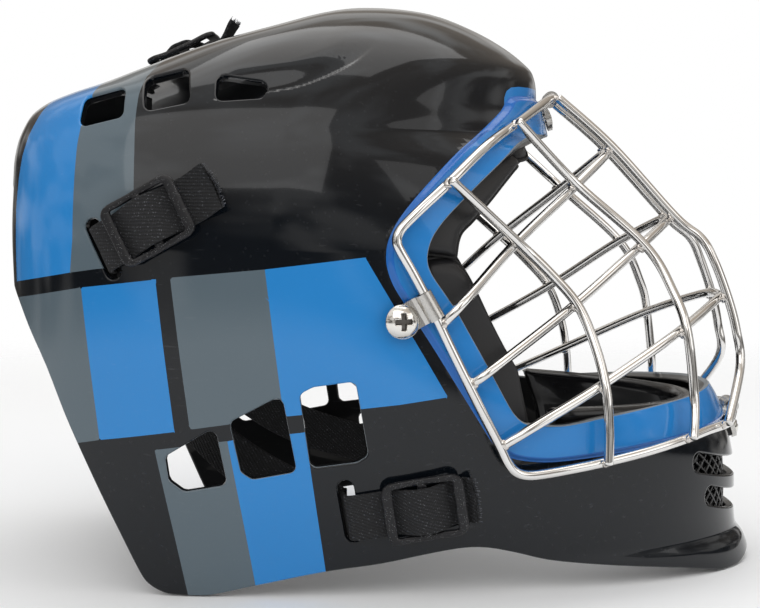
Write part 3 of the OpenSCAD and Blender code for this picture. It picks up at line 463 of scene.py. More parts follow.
def addTube(pieces, path, radius, hint, sides=16, closed=False, which=0):
    # Round wire along a path, with softly rounded ends
    path = np.asarray(path, float)
    if closed:
        ring = np.vstack([path[-1:], path, path[:1]])
        t, a, b = (v[1:-1] for v in pathFrames(ring, hint(ring)))
        r = np.full(len(path), radius)
    else:
        t, a, b = pathFrames(path, hint(path))
        ends, bulge = np.radians([15, 45, 72]), 0.45
        r = np.concatenate([radius * np.cos(ends[::-1]), np.full(len(path), radius), radius * np.cos(ends)])
        push = radius * bulge * np.sin(ends)
        path = np.vstack([path[0] - push[::-1, None] * t[0], path, path[-1] + push[:, None] * t[-1]])
        a, b = (np.vstack([np.repeat(v[:1], 3, 0), v, np.repeat(v[-1:], 3, 0)]) for v in (a, b))
    angle = np.linspace(0, 2 * np.pi, sides, endpoint=False)
    circle = np.cos(angle)[None, :, None] * a[:, None] + np.sin(angle)[None, :, None] * b[:, None]
    points = path[:, None] + r[:, None, None] * circle
    length = runLength(path)
    uv = np.stack(np.broadcast_arrays(radius * angle[None, :], length[:, None]), -1).reshape(-1, 2)
    if closed:
        faces = gridFaces(len(path), sides, wrapRows=True, wrapColumns=True)
    else:
        points, faces = closedRings(points)
        uv = np.vstack([uv, [[0, 0], [0, length[-1]]]])
    pieces.add(points, faces, uv, which)


def addBead(pieces, centre, across, along, size, seed):
    # Lump of weld metal: a flattened, slightly uneven ball
    across, along = unit(np.asarray(across, float)), np.asarray(along, float)
    along = unit(along - np.dot(along, across) * across)
    rows, columns, poleHole = 9, 14, 0.2
    p, q = np.meshgrid(np.linspace(poleHole, np.pi - poleHole, rows),
                       np.linspace(0, 2 * np.pi, columns, endpoint=False), indexing="ij")
    uneven = 1 + 0.07 * np.sin(3 * q + seed) * np.sin(p) + 0.05 * np.cos(2 * p + 1.7 * seed)
    ball = (np.cos(p) * size[0])[..., None] * across + (np.sin(p) * np.cos(q) * size[1])[..., None] * along \
        + (np.sin(p) * np.sin(q) * size[2])[..., None] * np.cross(across, along)
    pieces.add(*closedRings(centre + uneven[..., None] * ball), which=1)


def link(tree, a, b):
    tree.links.new(a.socket if isinstance(a, Value) else a, b)


def node(tree, kind, values=None, **settings):
    n = tree.nodes.new(kind)
    for k, v in settings.items():
        setattr(n, k, v)
    for k, v in (values or {}).items():
        if isinstance(v, (bpy.types.NodeSocket, Value)):
            link(tree, v, n.inputs[k])
        else:
            n.inputs[k].default_value = v
    return n


class Value:
    # Output of a node. Sums, products and comparisons of values are further Math nodes
    def __init__(self, tree, socket):
        self.tree, self.socket = tree, socket

    def into(self, operation, *others):
        values = dict(enumerate((self, *others)))
        return Value(self.tree, node(self.tree, "ShaderNodeMath", values, operation=operation).outputs[0])

    __add__, __sub__ = partialmethod(into, "ADD"), partialmethod(into, "SUBTRACT")
    __mul__ = partialmethod(into, "MULTIPLY")
    __lt__, __gt__ = partialmethod(into, "LESS_THAN"), partialmethod(into, "GREATER_THAN")

    def clamped(self):
        # Kept between 0 and 1 by the node that it comes from
        self.socket.node.use_clamp = True
        return self

    def wave(self):
        return self.into("SINE") * 0.5 + 0.5


def mixColour(tree, share, a, b):
    return node(tree, "ShaderNodeMix", {0: share, 6: a, 7: b}, data_type="RGBA").outputs[2]


def shaded(tree, tint, shade):
    return node(tree, "ShaderNodeVectorMath", {0: tint, "Scale": shade}, operation="SCALE").outputs[0]


def objectPlace(tree):
    return node(tree, "ShaderNodeTexCoord").outputs["Object"]


def drawnOut(tree, place, scale, **more):
    return node(tree, "ShaderNodeMapping", {"Vector": place, "Scale": scale, **more}).outputs[0]


def noise(tree, place, scale, detail, **more):
    values = {"Vector": place, "Scale": scale, "Detail": detail, **more}
    return Value(tree, node(tree, "ShaderNodeTexNoise", values).outputs["Fac"])


def specks(tree, place, scale, size):
    found = node(tree, "ShaderNodeTexVoronoi", {"Vector": place, "Scale": scale}).outputs["Distance"]
    return Value(tree, found) < size


def ranged(tree, value, low, high, toLow=0.0, toHigh=1.0, how="LINEAR"):
    limits = {"Value": value, "From Min": low, "From Max": high, "To Min": toLow, "To Max": toHigh}
    return Value(tree, node(tree, "ShaderNodeMapRange", limits, interpolation_type=how).outputs[0])


def newGroup(name, inputs, outputs=("Color", "Roughness", "Height")):
    # Group with its inputs' names and first values. A value of four numbers is a colour
    g = bpy.data.node_groups.new(name, "ShaderNodeTree")
    colourKind, valueKind = "NodeSocketColor", "NodeSocketFloat"
    for label, value in inputs.items():
        kind = colourKind if isinstance(value, tuple) else valueKind
        g.interface.new_socket(name=label, in_out="INPUT", socket_type=kind).default_value = value
    for label in outputs:
        kind = colourKind if label == "Color" else valueKind
        g.interface.new_socket(name=label, in_out="OUTPUT", socket_type=kind)
    own = {s.name: Value(g, s) for s in g.nodes.new("NodeGroupInput").outputs}
    return g, own, g.nodes.new("NodeGroupOutput").inputs


def closeGroup(g, o, *values):
    for value, socket in zip(values, o):
        link(g, value, socket)
    return g


def makePaintGroup():
    # Moulded or painted plastic: faint mottling, dust, hair-fine scratches and orange peel
    g, i, o = newGroup("paint finish", {
        "Tint": (0.5, 0.5, 0.5, 1), "Mottle": 0.06, "Dust": 0.04, "Polish": 0.08, "Scratches": 0.1, "Peel": 0.2,
        "Specks per metre": 330.0})
    place, dustColour = objectPlace(g), (0.55, 0.56, 0.58, 1)
    broad, fine, peel = noise(g, place, 14.0, 4.0), noise(g, place, 900.0, 3.0), noise(g, place, 420.0, 1.0)
    hair = noise(g, drawnOut(g, place, (60.0, 900.0, 700.0), Rotation=(0.4, 0.9, 0.3)), 1.0, 1.0)
    scratch = ((hair - 0.68).clamped() * 8.0).clamped()
    scratch = scratch * ((broad - 0.42).clamped() * 2.2).clamped() * i["Scratches"]
    dust = specks(g, place, i["Specks per metre"], 0.16) * (fine * i["Dust"])
    tinted = shaded(g, i["Tint"], (broad - 0.5) * i["Mottle"] + 1.0)
    return closeGroup(g, o, mixColour(g, (dust + scratch * 0.25).clamped(), tinted, dustColour),
                      (i["Polish"] + broad * 0.05 + scratch * 0.5).clamped(), peel * i["Peel"] - scratch * 0.6)


def makeMetalGroup():
    # Plated or brushed metal: drawn lines, soft smears and tiny pits
    g, i, o = newGroup("metal finish", {
        "Tint": (0.8, 0.8, 0.8, 1), "Polish": 0.05, "Brushing": 0.0, "Smears": 0.1, "Pits": 0.1})
    place, hazeColour, pitColour = objectPlace(g), (0.34, 0.29, 0.25, 1), (0.12, 0.11, 0.1, 1)
    haze = (noise(g, place, 45.0, 5.0, Roughness=0.65) - 0.45).clamped() * i["Smears"]
    brushed = (noise(g, drawnOut(g, place, (2600.0, 160.0, 160.0)), 1.0, 2.0) - 0.5) * i["Brushing"]
    pits = specks(g, place, 520.0, 0.09) * i["Pits"]
    dark = mixColour(g, (haze * 1.2).clamped(), i["Tint"], hazeColour)
    return closeGroup(g, o, mixColour(g, pits, dark, pitColour),
                      (i["Polish"] + haze + brushed * 0.5 + pits * 0.3).clamped(), brushed - pits)


def makeWeaveGroup():
    # Woven webbing: slanting ribs of yarn and pale flecks of worn fibre
    g, i, o = newGroup("webbing weave", {
        "Yarn": (0.02, 0.02, 0.022, 1), "Fleck": (0.5, 0.5, 0.52, 1), "Ribs per metre": 640.0, "Slant": -0.53,
        "Flecks": 0.6})
    place, yarnsPerMetre = objectPlace(g), 1250.0
    run = node(g, "ShaderNodeUVMap", uv_map="run").outputs[0]
    x, y = (Value(g, s) for s in node(g, "ShaderNodeSeparateXYZ", {0: run}).outputs[:2])
    phase = (x + y * i["Slant"]) * i["Ribs per metre"] * (2 * math.pi)
    ribs = phase.wave()
    height = ribs * 0.7 + (y * (yarnsPerMetre * 2 * math.pi) + phase).wave() * 0.3
    fuzz = noise(g, place, 1500.0, 2.0)
    flecks = specks(g, place, 1300.0, 0.3) * i["Flecks"] * (fuzz > 0.52) * ribs
    # The yarn is darker in the grooves and paler on the rib tops: painted shade and highlight of the weave's relief
    yarn = shaded(g, i["Yarn"], height * 1.3 + 0.25)
    return closeGroup(g, o, mixColour(g, flecks, yarn, i["Fleck"]), (fuzz * 0.2 + 0.72).clamped(),
                      height + fuzz * 0.3)


def makeFoamGroup():
    # Closed-cell foam or knit cover: fine grain, broad sheen changes and small pores
    g, i, o = newGroup("foam finish", {
        "Tint": (0.02, 0.02, 0.02, 1), "Grain per metre": 900.0, "Pores": 0.3, "Softness": 0.6})
    place = objectPlace(g)
    grain, broad = noise(g, place, i["Grain per metre"], 3.0), noise(g, place, 30.0, 3.0)
    pores = specks(g, place, i["Grain per metre"], 0.22) * i["Pores"]
    return closeGroup(g, o, shaded(g, i["Tint"], broad * 0.5 + 0.75 - pores * 0.5),
                      (i["Softness"] + broad * 0.15).clamped(), grain - pores)


groups = {"paint": makePaintGroup(), "metal": makeMetalGroup(), "weave": makeWeaveGroup(),
          "foam": makeFoamGroup()}


def colour(r, g, b):
    # Linear colour from a display colour in 0 to 255
    channel = [((v / 255 + 0.055) / 1.055) ** 2.4 if v > 10 else v / 255 / 12.92 for v in (r, g, b)]
    return (*channel, 1.0)


def material(name, group, values, bump, metallic=0.0, coat=None, specular=None):
    m = bpy.data.materials.new(name)
    m.use_nodes = True
    t = m.node_tree
    bsdf = t.nodes["Principled BSDF"]
    g = t.nodes.new("ShaderNodeGroup")
    g.node_tree = groups[group]
    for k, v in values.items():
        g.inputs[k].default_value = v
    link(t, g.outputs["Color"], bsdf.inputs["Base Color"])
    link(t, g.outputs["Roughness"], bsdf.inputs["Roughness"])
    relief = node(t, "ShaderNodeBump", {"Strength": 1.0, "Distance": bump * toMetres, "Height": g.outputs["Height"]})
    link(t, relief.outputs[0], bsdf.inputs["Normal"])
    bsdf.inputs["Metallic"].default_value = metallic
    if coat:
        bsdf.inputs["Coat Weight"].default_value, bsdf.inputs["Coat Roughness"].default_value = coat
    if specular is not None:
        bsdf.inputs["Specular IOR Level"].default_value = specular
    m.diffuse_color = tuple(values.get("Tint", values.get("Yarn")))
    return m


def paint(name, tint, polish=0.07, peel=0.5):
    values = {"Tint": tint, "Polish": polish, "Mottle": 0.08, "Dust": 0.02, "Scratches": 0.25, "Peel": peel}
    return material(name, "paint", values, 0.012, coat=(0.35, 0.03), specular=0.22)


def metal(name, tint, polish, smears, pits, bump, brushing=0.0):
    values = {"Tint": (*tint, 1), "Polish": polish, "Smears": smears, "Pits": pits, "Brushing": brushing}
    return material(name, "metal", values, bump, metallic=1.0)


def foam(name, grey, softness, bump, pores=0.3, grain=900.0):
    values = {"Tint": colour(*grey), "Softness": softness, "Pores": pores, "Grain per metre": grain}
    return material(name, "foam", values, bump)


paints = {"black": paint("shell black", colour(12, 16, 21)), "blue": paint("panel blue", colour(42, 128, 196)),
          "grey": paint("panel grey", colour(88, 101, 109)), "band": paint("band blue", colour(41, 124, 193)),
          # The band's step is painted a deeper blue: painted shade on the step, which faces away from the light
          "step": paint("band step painted shade blue", colour(34, 104, 184)),
          # Pale grey along the cut edges: the bare edge of the shell, with a painted highlight along its rounded lip
          "edge": paint("cut edge grey and painted highlight", colour(120, 128, 134), 0.3),
          "inner": paint("shell inner black", colour(17, 18, 20), 0.28, 1.5)}
chrome = metal("chrome wire", (0.78, 0.77, 0.755), 0.05, 0.35, 0.25, 0.01)
weldMetal = metal("weld metal", (0.66, 0.63, 0.6), 0.16, 0.8, 0.6, 0.05)
# Clip sheet: brushed steel whose tint is darkened as painted shade
clipMetal = metal("clip sheet", (0.56, 0.55, 0.53), 0.22, 0.4, 0.2, 0.02, 0.5)
screwMetal = metal("screw metal", (0.8, 0.78, 0.74), 0.1, 0.5, 0.3, 0.02)
# Dark metal for the inside of the screws' cross recesses: painted shade
recessShadeMetal = metal("screw recess painted shade", (0.16, 0.15, 0.14), 0.35, 0.6, 0.5, 0.03)
rubber = foam("washer rubber", (22, 22, 23), 0.55, 0.02, 0.1)
webbingCloth = material("webbing", "weave", {"Yarn": colour(21, 22, 25), "Fleck": colour(120, 122, 128)}, 0.28)
frayFibre = material("frayed yarn", "weave", {"Yarn": colour(95, 97, 104), "Flecks": 0.8}, 0.05)
sliderPlastic = material("adjuster plastic", "paint", {
    "Tint": colour(20, 20, 23), "Polish": 0.38, "Mottle": 0.4, "Dust": 1.0, "Scratches": 0.8, "Peel": 1.2,
    "Specks per metre": 1500.0}, 0.05, specular=0.35)
platePlastic = material("plate plastic", "paint", {
    "Tint": colour(23, 24, 26), "Polish": 0.4, "Mottle": 0.15, "Dust": 0.08, "Scratches": 0.4, "Peel": 1.5}, 0.04)
foamSkin = foam("liner foam", (23, 23, 25), 0.42, 0.05, 0.12, 1100.0)
coverCloth = foam("pad cover", (26, 26, 28), 0.75, 0.09, 0.5, 1600.0)
pipingCloth = foam("pad piping", (17, 17, 18), 0.6, 0.05)
cupGloss = paint("chin cup black", colour(17, 17, 19), 0.2, 1.0)
meshPlastic = material("mesh plastic", "paint", {"Tint": colour(26, 26, 27), "Polish": 0.3, "Dust": 0.3}, 0.03)
print("stage: materials")

# Painted areas in the side view. The same paint is on both sides
upperBelt = [(-161, 130.6), (-130.8, 135.7), (-119.6, 137.3)]
belt = [(-125.9, 129.7), (-93.8, 133.4), (-87.7, 134.2), (-49.4, 137.6), (-9.4, 142.3)]
lowBelt = [(-96.1, 63.1), (-65.8, 67.4), (-34, 71.2)]
rearDivide = [(-129.4, 149.2), (-128.9, 174.4), (-128.5, 188), (-127.4, 198), (-124.7, 213.3), (-120, 260)]
notch, lowDivide = [(-43.4, 85.2), (-41.5, 77.8)], [(-60.8, 36.8), (-54.4, -4)]
paintAreas = [
    ("blue", [(-146.5, 260), (-148.6, 206.2), (-151.2, 201.1), (-154.9, 193.3), (-157.6, 184.3), (-159.2, 174.9),
              (-160.4, 163.4), (-160.8, 148.5), *upperBelt[:2], *rearDivide]),
    ("grey", [*rearDivide[::-1], *upperBelt[1:], (-111.4, 138.1), (-106, 152), (-102.6, 165), (-103.1, 185.6),
              (-103.7, 197.3), (-103.6, 208.9), (-102.4, 217), (-99, 224), (-93, 260)]),
    ("grey", [(-164, 123.2), belt[0], (-119.8, 66.4), (-134, 63.6)]),
    ("blue", [*belt[:2], (-87.5, 70.9), (-119.8, 66.4)]),
    ("grey", [*belt[2:4], *notch, (-81.1, 72)]),
    ("blue", [*belt[3:], (-7, 138.1), (4.2, 119), (14.3, 101.9), (24, 85.1), (4.2, 82.3), (-11.9, 80.7),
              *notch[::-1]]),
    ("grey", [*lowBelt[:2], *lowDivide, (-83.6, -4), (-90.4, 32.7)]),
    ("blue", [*lowBelt[1:], (-30.3, 41.8), (-24.5, -4), *lowDivide[::-1]])]
browPatch = [(49.5, 199), (49, 206), (49.2, 210.5), (50.2, 213.4), (52.4, 215.2), (56, 216), (62, 216.4),
             (90, 216.4), (90, 199)]
# The first two numbers are the widths of the painted highlight along the low vents' edges and along the face opening
ventHighlightWidth, edgeHighlightWidth, lipRound, edgeReach, patchFrom = 0.15, 0.45, 0.9, 3, 40
stepHalf, stepLevels = 1.3, (-1.3, -0.5, 0.4, 1.3)
spacing = {"around": 1.9, "bottom": -3, "up": 1.75, "shoulder": 196, "shoulderUp": 1.2, "crown": 206,
           "crownUp": 0.8, "topFrom": 250, "ears": 110.0,
           "top": [250.4, 251, 251.6, 252.1, 252.6, 253, 253.35, 253.6, 253.8, 253.93], "pole": 0.002}
cutting = {"onLevel": 1e-4, "margin": 0.02, "rounds": 4}


def startGrid():
    # Columns spaced evenly round the ears' section, rings closer together where the crown flattens
    fine = np.linspace(0, 180, 3601)
    length = runLength(skinBase(fine, spacing["ears"]))
    columns = np.interp(np.linspace(0, length[-1], int(length[-1] / spacing["around"]) + 1), length, fine)
    columns[0], columns[-1] = 0, 180
    rings = np.concatenate([np.arange(spacing["bottom"], spacing["shoulder"], spacing["up"]),
                            np.arange(spacing["shoulder"], spacing["crown"], spacing["shoulderUp"]),
                            np.arange(spacing["crown"], spacing["topFrom"], spacing["crownUp"]), spacing["top"]])
    u, z = np.meshgrid(columns, rings)
    n, m = u.shape
    q, k = gridFaces(n, m), (n - 1) * m + np.arange(m - 1)
    faces = np.concatenate([q[:, [0, 1, 2]], q[:, [0, 2, 3]], np.stack([k, k + 1, np.full(m - 1, n * m)], -1)])
    return np.vstack([np.stack([u.ravel(), z.ravel()], -1), [90, shell["crown"] - spacing["pole"]]]), faces


def edgesOf(faces):
    return np.concatenate([faces[:, [0, 1]], faces[:, [1, 2]], faces[:, [2, 0]]])


def cutAt(places, faces, measure, level):
    # Split every triangle that a level of the measure crosses
    value = measure(places[:, 0], places[:, 1]) - level
    value = np.where(np.abs(value) < cutting["onLevel"], 0, value)
    sign = np.sign(value).astype(int)
    s = sign[faces]
    crossed = (s.min(1) < 0) & (s.max(1) > 0)
    whole, split = faces[~crossed], faces[crossed]
    if not len(split):
        return places, faces
    edges = edgesOf(split)
    live = sign[edges[:, 0]] * sign[edges[:, 1]] < 0
    unique, back = np.unique(np.sort(edges[live], axis=1), axis=0, return_inverse=True)
    a, b = places[unique[:, 0]], places[unique[:, 1]]
    low, high = np.zeros(len(a)), np.ones(len(a))
    fa, fb = value[unique[:, 0]], value[unique[:, 1]]
    for _ in range(cutting["rounds"]):
        margin = cutting["margin"] * (high - low)
        t = np.clip(low + (high - low) * fa / (fa - fb), low + margin, high - margin)
        p = a + t[:, None] * (b - a)
        f = measure(p[:, 0], p[:, 1]) - level
        same = np.sign(f) == np.sign(fa)
        low, fa = np.where(same, t, low), np.where(same, f, fa)
        high, fb = np.where(same, high, t), np.where(same, fb, f)
    fresh = np.full(len(edges), -1)
    fresh[live] = len(places) + back.ravel()
    middle = fresh.reshape(3, -1).T
    out = [whole]
    for k in range(3):
        i, j, h = (split[:, (k + e) % 3] for e in range(3))
        ij, jh, hi = (middle[:, (k + e) % 3] for e in range(3))
        lone = (ij >= 0) & (hi >= 0) & (jh < 0)
        through = (jh >= 0) & (ij < 0) & (hi < 0)
        out += [np.stack(f, -1)[lone] for f in ((i, ij, hi), (ij, j, h), (ij, h, hi))]
        out += [np.stack(f, -1)[through] for f in ((i, j, jh), (i, jh, h))]
    return np.vstack([places, p]), np.concatenate(out)


def sideMeasure(corners):
    return lambda u, z: outlineDistance(skinBase(u, z)[:, [0, 2]], corners)


def bandLift(u, z):
    return shell["bandRise"] * smoothStep(bandDistance(u, z), -stepHalf, stepHalf)


def outerPoint(u, z):
    base = skinBase(u, z)
    off = bandLift(u, z) - scoopShift(base)
    return base + off[:, None] * skinNormal(u, z)


def innerPoint(u, z):
    base = skinBase(u, z)
    return base - (shell["wall"] + scoopShift(base) * scoop["inside"])[:, None] * skinNormal(u, z)


def surfaceNormal(point, u, z):
    n = unit(np.cross(*slopes(point, u, z)))
    n[z > shell["crown"] - 0.03] = (0, 0, 1)
    return n


def towardsEdge(u, z):
    # Direction in the surface that leads to the nearest opening
    around, up = slopes(skinBase, u, z)
    du, dz = fineSteps[:2]
    a = (keepDistance(u + du, z) - keepDistance(u - du, z)) / np.maximum(np.sum(around ** 2, 1), 1e-9)
    b = (keepDistance(u, z + dz) - keepDistance(u, z - dz)) / np.maximum(np.sum(up ** 2, 1), 1e-9)
    return unit(-(a[:, None] * around + b[:, None] * up))


def makeShell():
    places, faces = cutAt(*startGrid(), keepDistance, 0.0)
    middle = places[faces].mean(1)
    faces = faces[keepDistance(middle[:, 0], middle[:, 1]) > 0]
    used, back = np.unique(faces, return_inverse=True)
    places, faces = places[used], back.reshape(faces.shape)
    cuts = [(keepDistance, level) for level in (ventHighlightWidth, edgeHighlightWidth, lipRound)]
    cuts += [(bandDistance, level) for level in stepLevels]
    cuts += [(sideMeasure(area), 0.0) for area in [area for _, area in paintAreas] + [browPatch]]
    for measure, level in cuts:
        places, faces = cutAt(places, faces, measure, level)
    print("stage: shell cut in", len(faces), "triangles a side")

    u, z = places.T
    base, n = skinBase(u, z), len(places)
    keep = np.maximum(keepDistance(u, z), 0)
    keep[keep < 2e-3] = 0
    lip = lipRound - np.sqrt(np.maximum(lipRound ** 2 - np.maximum(lipRound - keep, 0) ** 2, 0))
    turn = np.where(keep < lipRound, np.arcsin(np.clip(1 - keep / lipRound, 0, 1)), 0)[:, None]
    edgeWay = towardsEdge(u, z)
    outerWay, innerWay = surfaceNormal(outerPoint, u, z), -surfaceNormal(innerPoint, u, z)
    outer = outerPoint(u, z) - lip[:, None] * outerWay
    inner = innerPoint(u, z) - lip[:, None] * innerWay
    outerShade = unit(np.cos(turn) * outerWay + np.sin(turn) * edgeWay)
    innerShade = unit(np.cos(turn) * innerWay + np.sin(turn) * edgeWay)

    # Rim strip between the two faces, along the edges that only one triangle has
    edges = edgesOf(faces)
    _, first, count = np.unique(np.sort(edges, axis=1), axis=0, return_index=True, return_counts=True)
    rim = edges[first[count == 1]]
    rim = rim[~(np.abs(base[rim][:, :, 1]) < 1e-3).all(1)]
    rimPoints, back = np.unique(rim, return_inverse=True)
    r, (a, b), (ra, rb) = len(rimPoints), rim.T, 2 * n + back.reshape(rim.shape).T
    quads = np.concatenate([np.stack(f, -1) for f in (
        (b, a, ra, rb), (rb, ra, ra + r, rb + r), (rb + r, ra + r, n + a, n + b))])
    points = np.vstack([outer, inner, (2 * outer[rimPoints] + inner[rimPoints]) / 3,
                        (outer[rimPoints] + 2 * inner[rimPoints]) / 3])
    shade = np.vstack([outerShade, innerShade, edgeWay[rimPoints], edgeWay[rimPoints]])
    triangles = np.concatenate([faces, faces[:, ::-1] + n])

    # Paint of each face, by where its middle lies
    number = {paintName: k for k, paintName in enumerate(paints)}
    middle = places[faces].mean(1)
    side = skinBase(middle[:, 0], middle[:, 1])
    flat, zone = side[:, [0, 2]], np.zeros(len(faces), int)
    band, keep = bandDistance(middle[:, 0], middle[:, 1]), keepDistance(middle[:, 0], middle[:, 1])
    # A thin pale line on the rounded lip of the face opening and of the low vents is a painted highlight
    nearVent = np.min([outlineDistance(flat, v, ventRound) for v in vents[3:]], axis=0) < edgeReach
    areas = [(paintName, outlineDistance(flat, area) < 0) for paintName, area in paintAreas]
    areas += [("band", (outlineDistance(flat, browPatch) < 0) & (side[:, 0] > patchFrom)), ("band", band > stepHalf),
              # Faces on the band's step get the deeper blue of painted shade
              ("step", np.abs(band) <= stepHalf),
              ("edge", (keep < edgeHighlightWidth) & (outlineDistance(flat, faceOutline) < edgeReach)),
              ("edge", (keep < ventHighlightWidth) & nearVent)]
    for paintName, here in areas:
        zone[here] = number[paintName]
    # The cut wall round the face opening is grey: the bare edge of the shell, painted lighter as its highlight
    pale = outlineDistance(base[a][:, [0, 2]], faceOutline) < edgeReach
    rimZone = np.where(pale, number["edge"], number["black"])
    which = [np.concatenate([zone, np.full(len(faces), number["inner"])]),
             np.concatenate([rimZone, np.full(2 * len(rim), number["inner"])])]

    # The other side is the mirror image, joined along the middle
    total = len(points)
    mirrorOf = np.arange(total) + total
    onPlane = np.abs(points[:, 1]) < 1e-3
    mirrorOf[onPlane] = np.arange(total)[onPlane]
    points[onPlane, 1], shade[onPlane, 1] = 0, 0
    points, shade = np.vstack([points, flip(points)]), unit(np.vstack([shade, flip(shade)]))
    triangles, quads = (np.concatenate([f, mirrorOf[f][:, ::-1]]) for f in (triangles, quads))
    used, back = np.unique(np.concatenate([triangles.ravel(), quads.ravel()]), return_inverse=True)
    faces = [back[:triangles.size].reshape(-1, 3), back[triangles.size:].reshape(-1, 4)]
    which = np.concatenate([which[0], which[0], which[1], which[1]])
    o = newMesh("maskShell", points[used], faces, list(paints.values()), which, shade[used])
    dress("shell")


makeShell()
print("stage: shell")

# Cage. The points named welds are those where a bar crosses an upright
cage = {"wire": 2.1, "seat": 1.8, "weldGap": 0.3, "pairHalf": 14.0, "sides": 16, "uprightLift": 0.5, "endGap": 0.2,
        "bend": 0.7}
frameOff, acrossWires = shell["bandRise"] + cage["seat"] + cage["wire"], 2 * cage["wire"] + cage["weldGap"]
uprightLift, barLift = cage["uprightLift"], cage["uprightLift"] - acrossWires
cageCentre = np.array([50.0, 0, 110])
sides = (("left", np.asarray), ("right", flip))
frameBrow = [(73, 0, 212.6), (71.2, 16, 211.6)]
frameSide = [(52.8, 197.8), (41.8, 188.8), (32.9, 180.9), (25.3, 173.2), (14.4, 163), (7.5, 156.3), (4.4, 152.6),
             (3.4, 149), (4.7, 145), (9.5, 136.6), (14, 128.2), (18.7, 118.9), (23, 109.9), (27.8, 100),
             (32.6, 90.3), (38.8, 77.8), (45.4, 64.8), (48.2, 58.8), (51.3, 54.7), (55.5, 52.7), (61.4, 52.5),
             (74.1, 54), (90.1, 56.3), (108, 59.2), (126.5, 62.6), (138, 64.8)]
frameChin = [(18, 63.3), (12, 65), (6, 66.1)]
topWelds = [(100, cage["pairHalf"] - 1, 190), (80.6, 40, 172.9), (52.4, 76, 148.5)]
middleWelds = [(129.2, cage["pairHalf"] - 1.5, 158), (111.2, 42.5, 145.4), (78.9, 73, 120.9)]
bottomWelds = [(152.7, 19, 121), (127.8, 57, 108), (89.6, 85.5, 86.8)]


def lifted(p, by):
    p = np.array(p, float)
    return p + by * unit(p - cageCentre)


def outwardHint(path):
    return unit(path - cageCentre)


def cageObject(cadNode, run, beads, closed=False):
    pieces, firstSeed = Pieces(), len(cadNode.replace("_", ""))
    addTube(pieces, run, cage["wire"], outwardHint, cage["sides"], closed)
    for k, (centre, along, size) in enumerate(beads):
        addBead(pieces, centre, unit(centre - cageCentre), along, size, k + firstSeed)
    pieces.build(cadNode, [chrome, weldMetal], "cage_wire")


frameLeft = [frameBrow[1]] + [seated(x, z, frameOff) for x, z in frameSide] \
    + [skin(u, z, frameOff) for u, z in frameChin]
frameFront = skin(0.0, 66.4, frameOff)
framePath = np.array([frameBrow[0]] + frameLeft + [frameFront] + [flip(p) for p in frameLeft[::-1]])
frameRun = spline(framePath, 5, closed=True)


def onFrame(x, z, off=0.0):
    return seated(x, z, frameOff + acrossWires - off)


def barEnd(x, z, ex, ez):
    # Last two points of a bar, the last one short of the frame wire by a weld gap
    e, f = seated(ex, ez, frameOff + cage["bend"]), seated(x, z, frameOff)
    return [e, f + unit(e - f) * (cage["wire"] + cage["endGap"])]


def nearFrame(p):
    # Weld at a wire's end: a lump between the end and the frame wire
    near = frameRun[np.argmin(np.linalg.norm(frameRun - p, axis=1))]
    return 0.5 * (np.array(p) + near)


bars = {"top": ([98.6, 0, 187.6], topWelds, barEnd(20.8, 114.4, 31.5, 125.6)),
        "middle": ([128, 0, 156.8], middleWelds, barEnd(32.6, 90.3, 44, 98.3)),
        "bottom": ([153.5, 0, 120.8], bottomWelds, barEnd(45.4, 64.8, 59, 72.6))}
beadSize, endBeadSize = (1.3, 2.5, 2.5), (2.2, 2.7, 2.7)
for label, (centre, welds, last) in bars.items():
    half = [np.array(centre, float)] + [lifted(p, barLift) for p in welds] + last
    beads = [(turned(lifted(p, (uprightLift + barLift) / 2)), turned(q - half[0]), beadSize)
             for p, q in zip(welds, half[1:]) for _, turned in sides]
    beads += [(turned(nearFrame(last[1])), last[1] - last[0], endBeadSize) for _, turned in sides]
    cageObject("cage_bar_" + label, spline([flip(p) for p in half[:0:-1]] + half, 8), beads)

topWire = np.array(frameBrow[1]) + acrossWires * unit(np.array([1, 0, 0.12]))
uprights = {
    "outer": (onFrame(25.3, 173), [topWelds[2], (66.3, 72, 135.4), middleWelds[2], (86, 79, 103.4), bottomWelds[2]],
              [onFrame(91, 70, 1), onFrame(90.7, 56.3)]),
    "inner": (onFrame(54.5, 199), [topWelds[1], middleWelds[1], (122.8, 49.5, 125), bottomWelds[1]],
              [onFrame(131.2, 78, 1), onFrame(129.6, 63.2)]),
    "centre": (np.array([topWire[0], cage["pairHalf"], topWire[2]]),
               [topWelds[0], middleWelds[0], (141, 14.5, 148), (146.5, 17, 138), bottomWelds[0], (156.4, 21, 106),
                (157.9, 23.5, 90)], [onFrame(148.6, 66.8)])}
for label, (top, points, last) in uprights.items():
    run = spline([top] + [lifted(p, uprightLift) for p in points] + last, 8)
    beads = [(nearFrame(run[0]), run[1] - run[0], beadSize), (nearFrame(run[-1]), run[-1] - run[-2], beadSize)]
    for side, turned in sides:
        cageObject(f"cage_upright_{label}_{side}", turned(run), [(turned(c), turned(w), s) for c, w, s in beads])
cageObject("cage_frame", frameRun, [], closed=True)
print("stage: cage")

# Webbing, its frayed end and the adjusters that it runs through
webbing = {"width": 20.0, "thick": 1.8, "lie": 1.3, "edge": 0.55, "border": 1.6, "hollow": 0.93, "cupLength": 11}
fray = {"inset": 0.4, "yarns": 46, "root": 0.3, "length": (0.7, 2.3), "thick": (0.07, 0.13), "stray": 0.35,
        "lift": 0.15}
slider = {"length": 34.0, "thick": 2.6, "endBar": 4.5, "centreBar": 4.0, "rail": 2.8, "windowWidth": 21.6,
          "play": 0.3, "rise": 1.3, "bow": 0.35, "corner": 3.0, "sides": 14, "step": 1.2, "barRings": 20,
          "squared": (0.72, 0.62), "uneven": 0.02, "barThick": 0.96, "lift": 0.7}
railHeight = webbing["thick"] + slider["lift"]
loopHeight = railHeight + slider["thick"] + slider["play"] + webbing["thick"] / 2
halfSlider = slider["length"] / 2
barEdge = halfSlider - slider["endBar"]


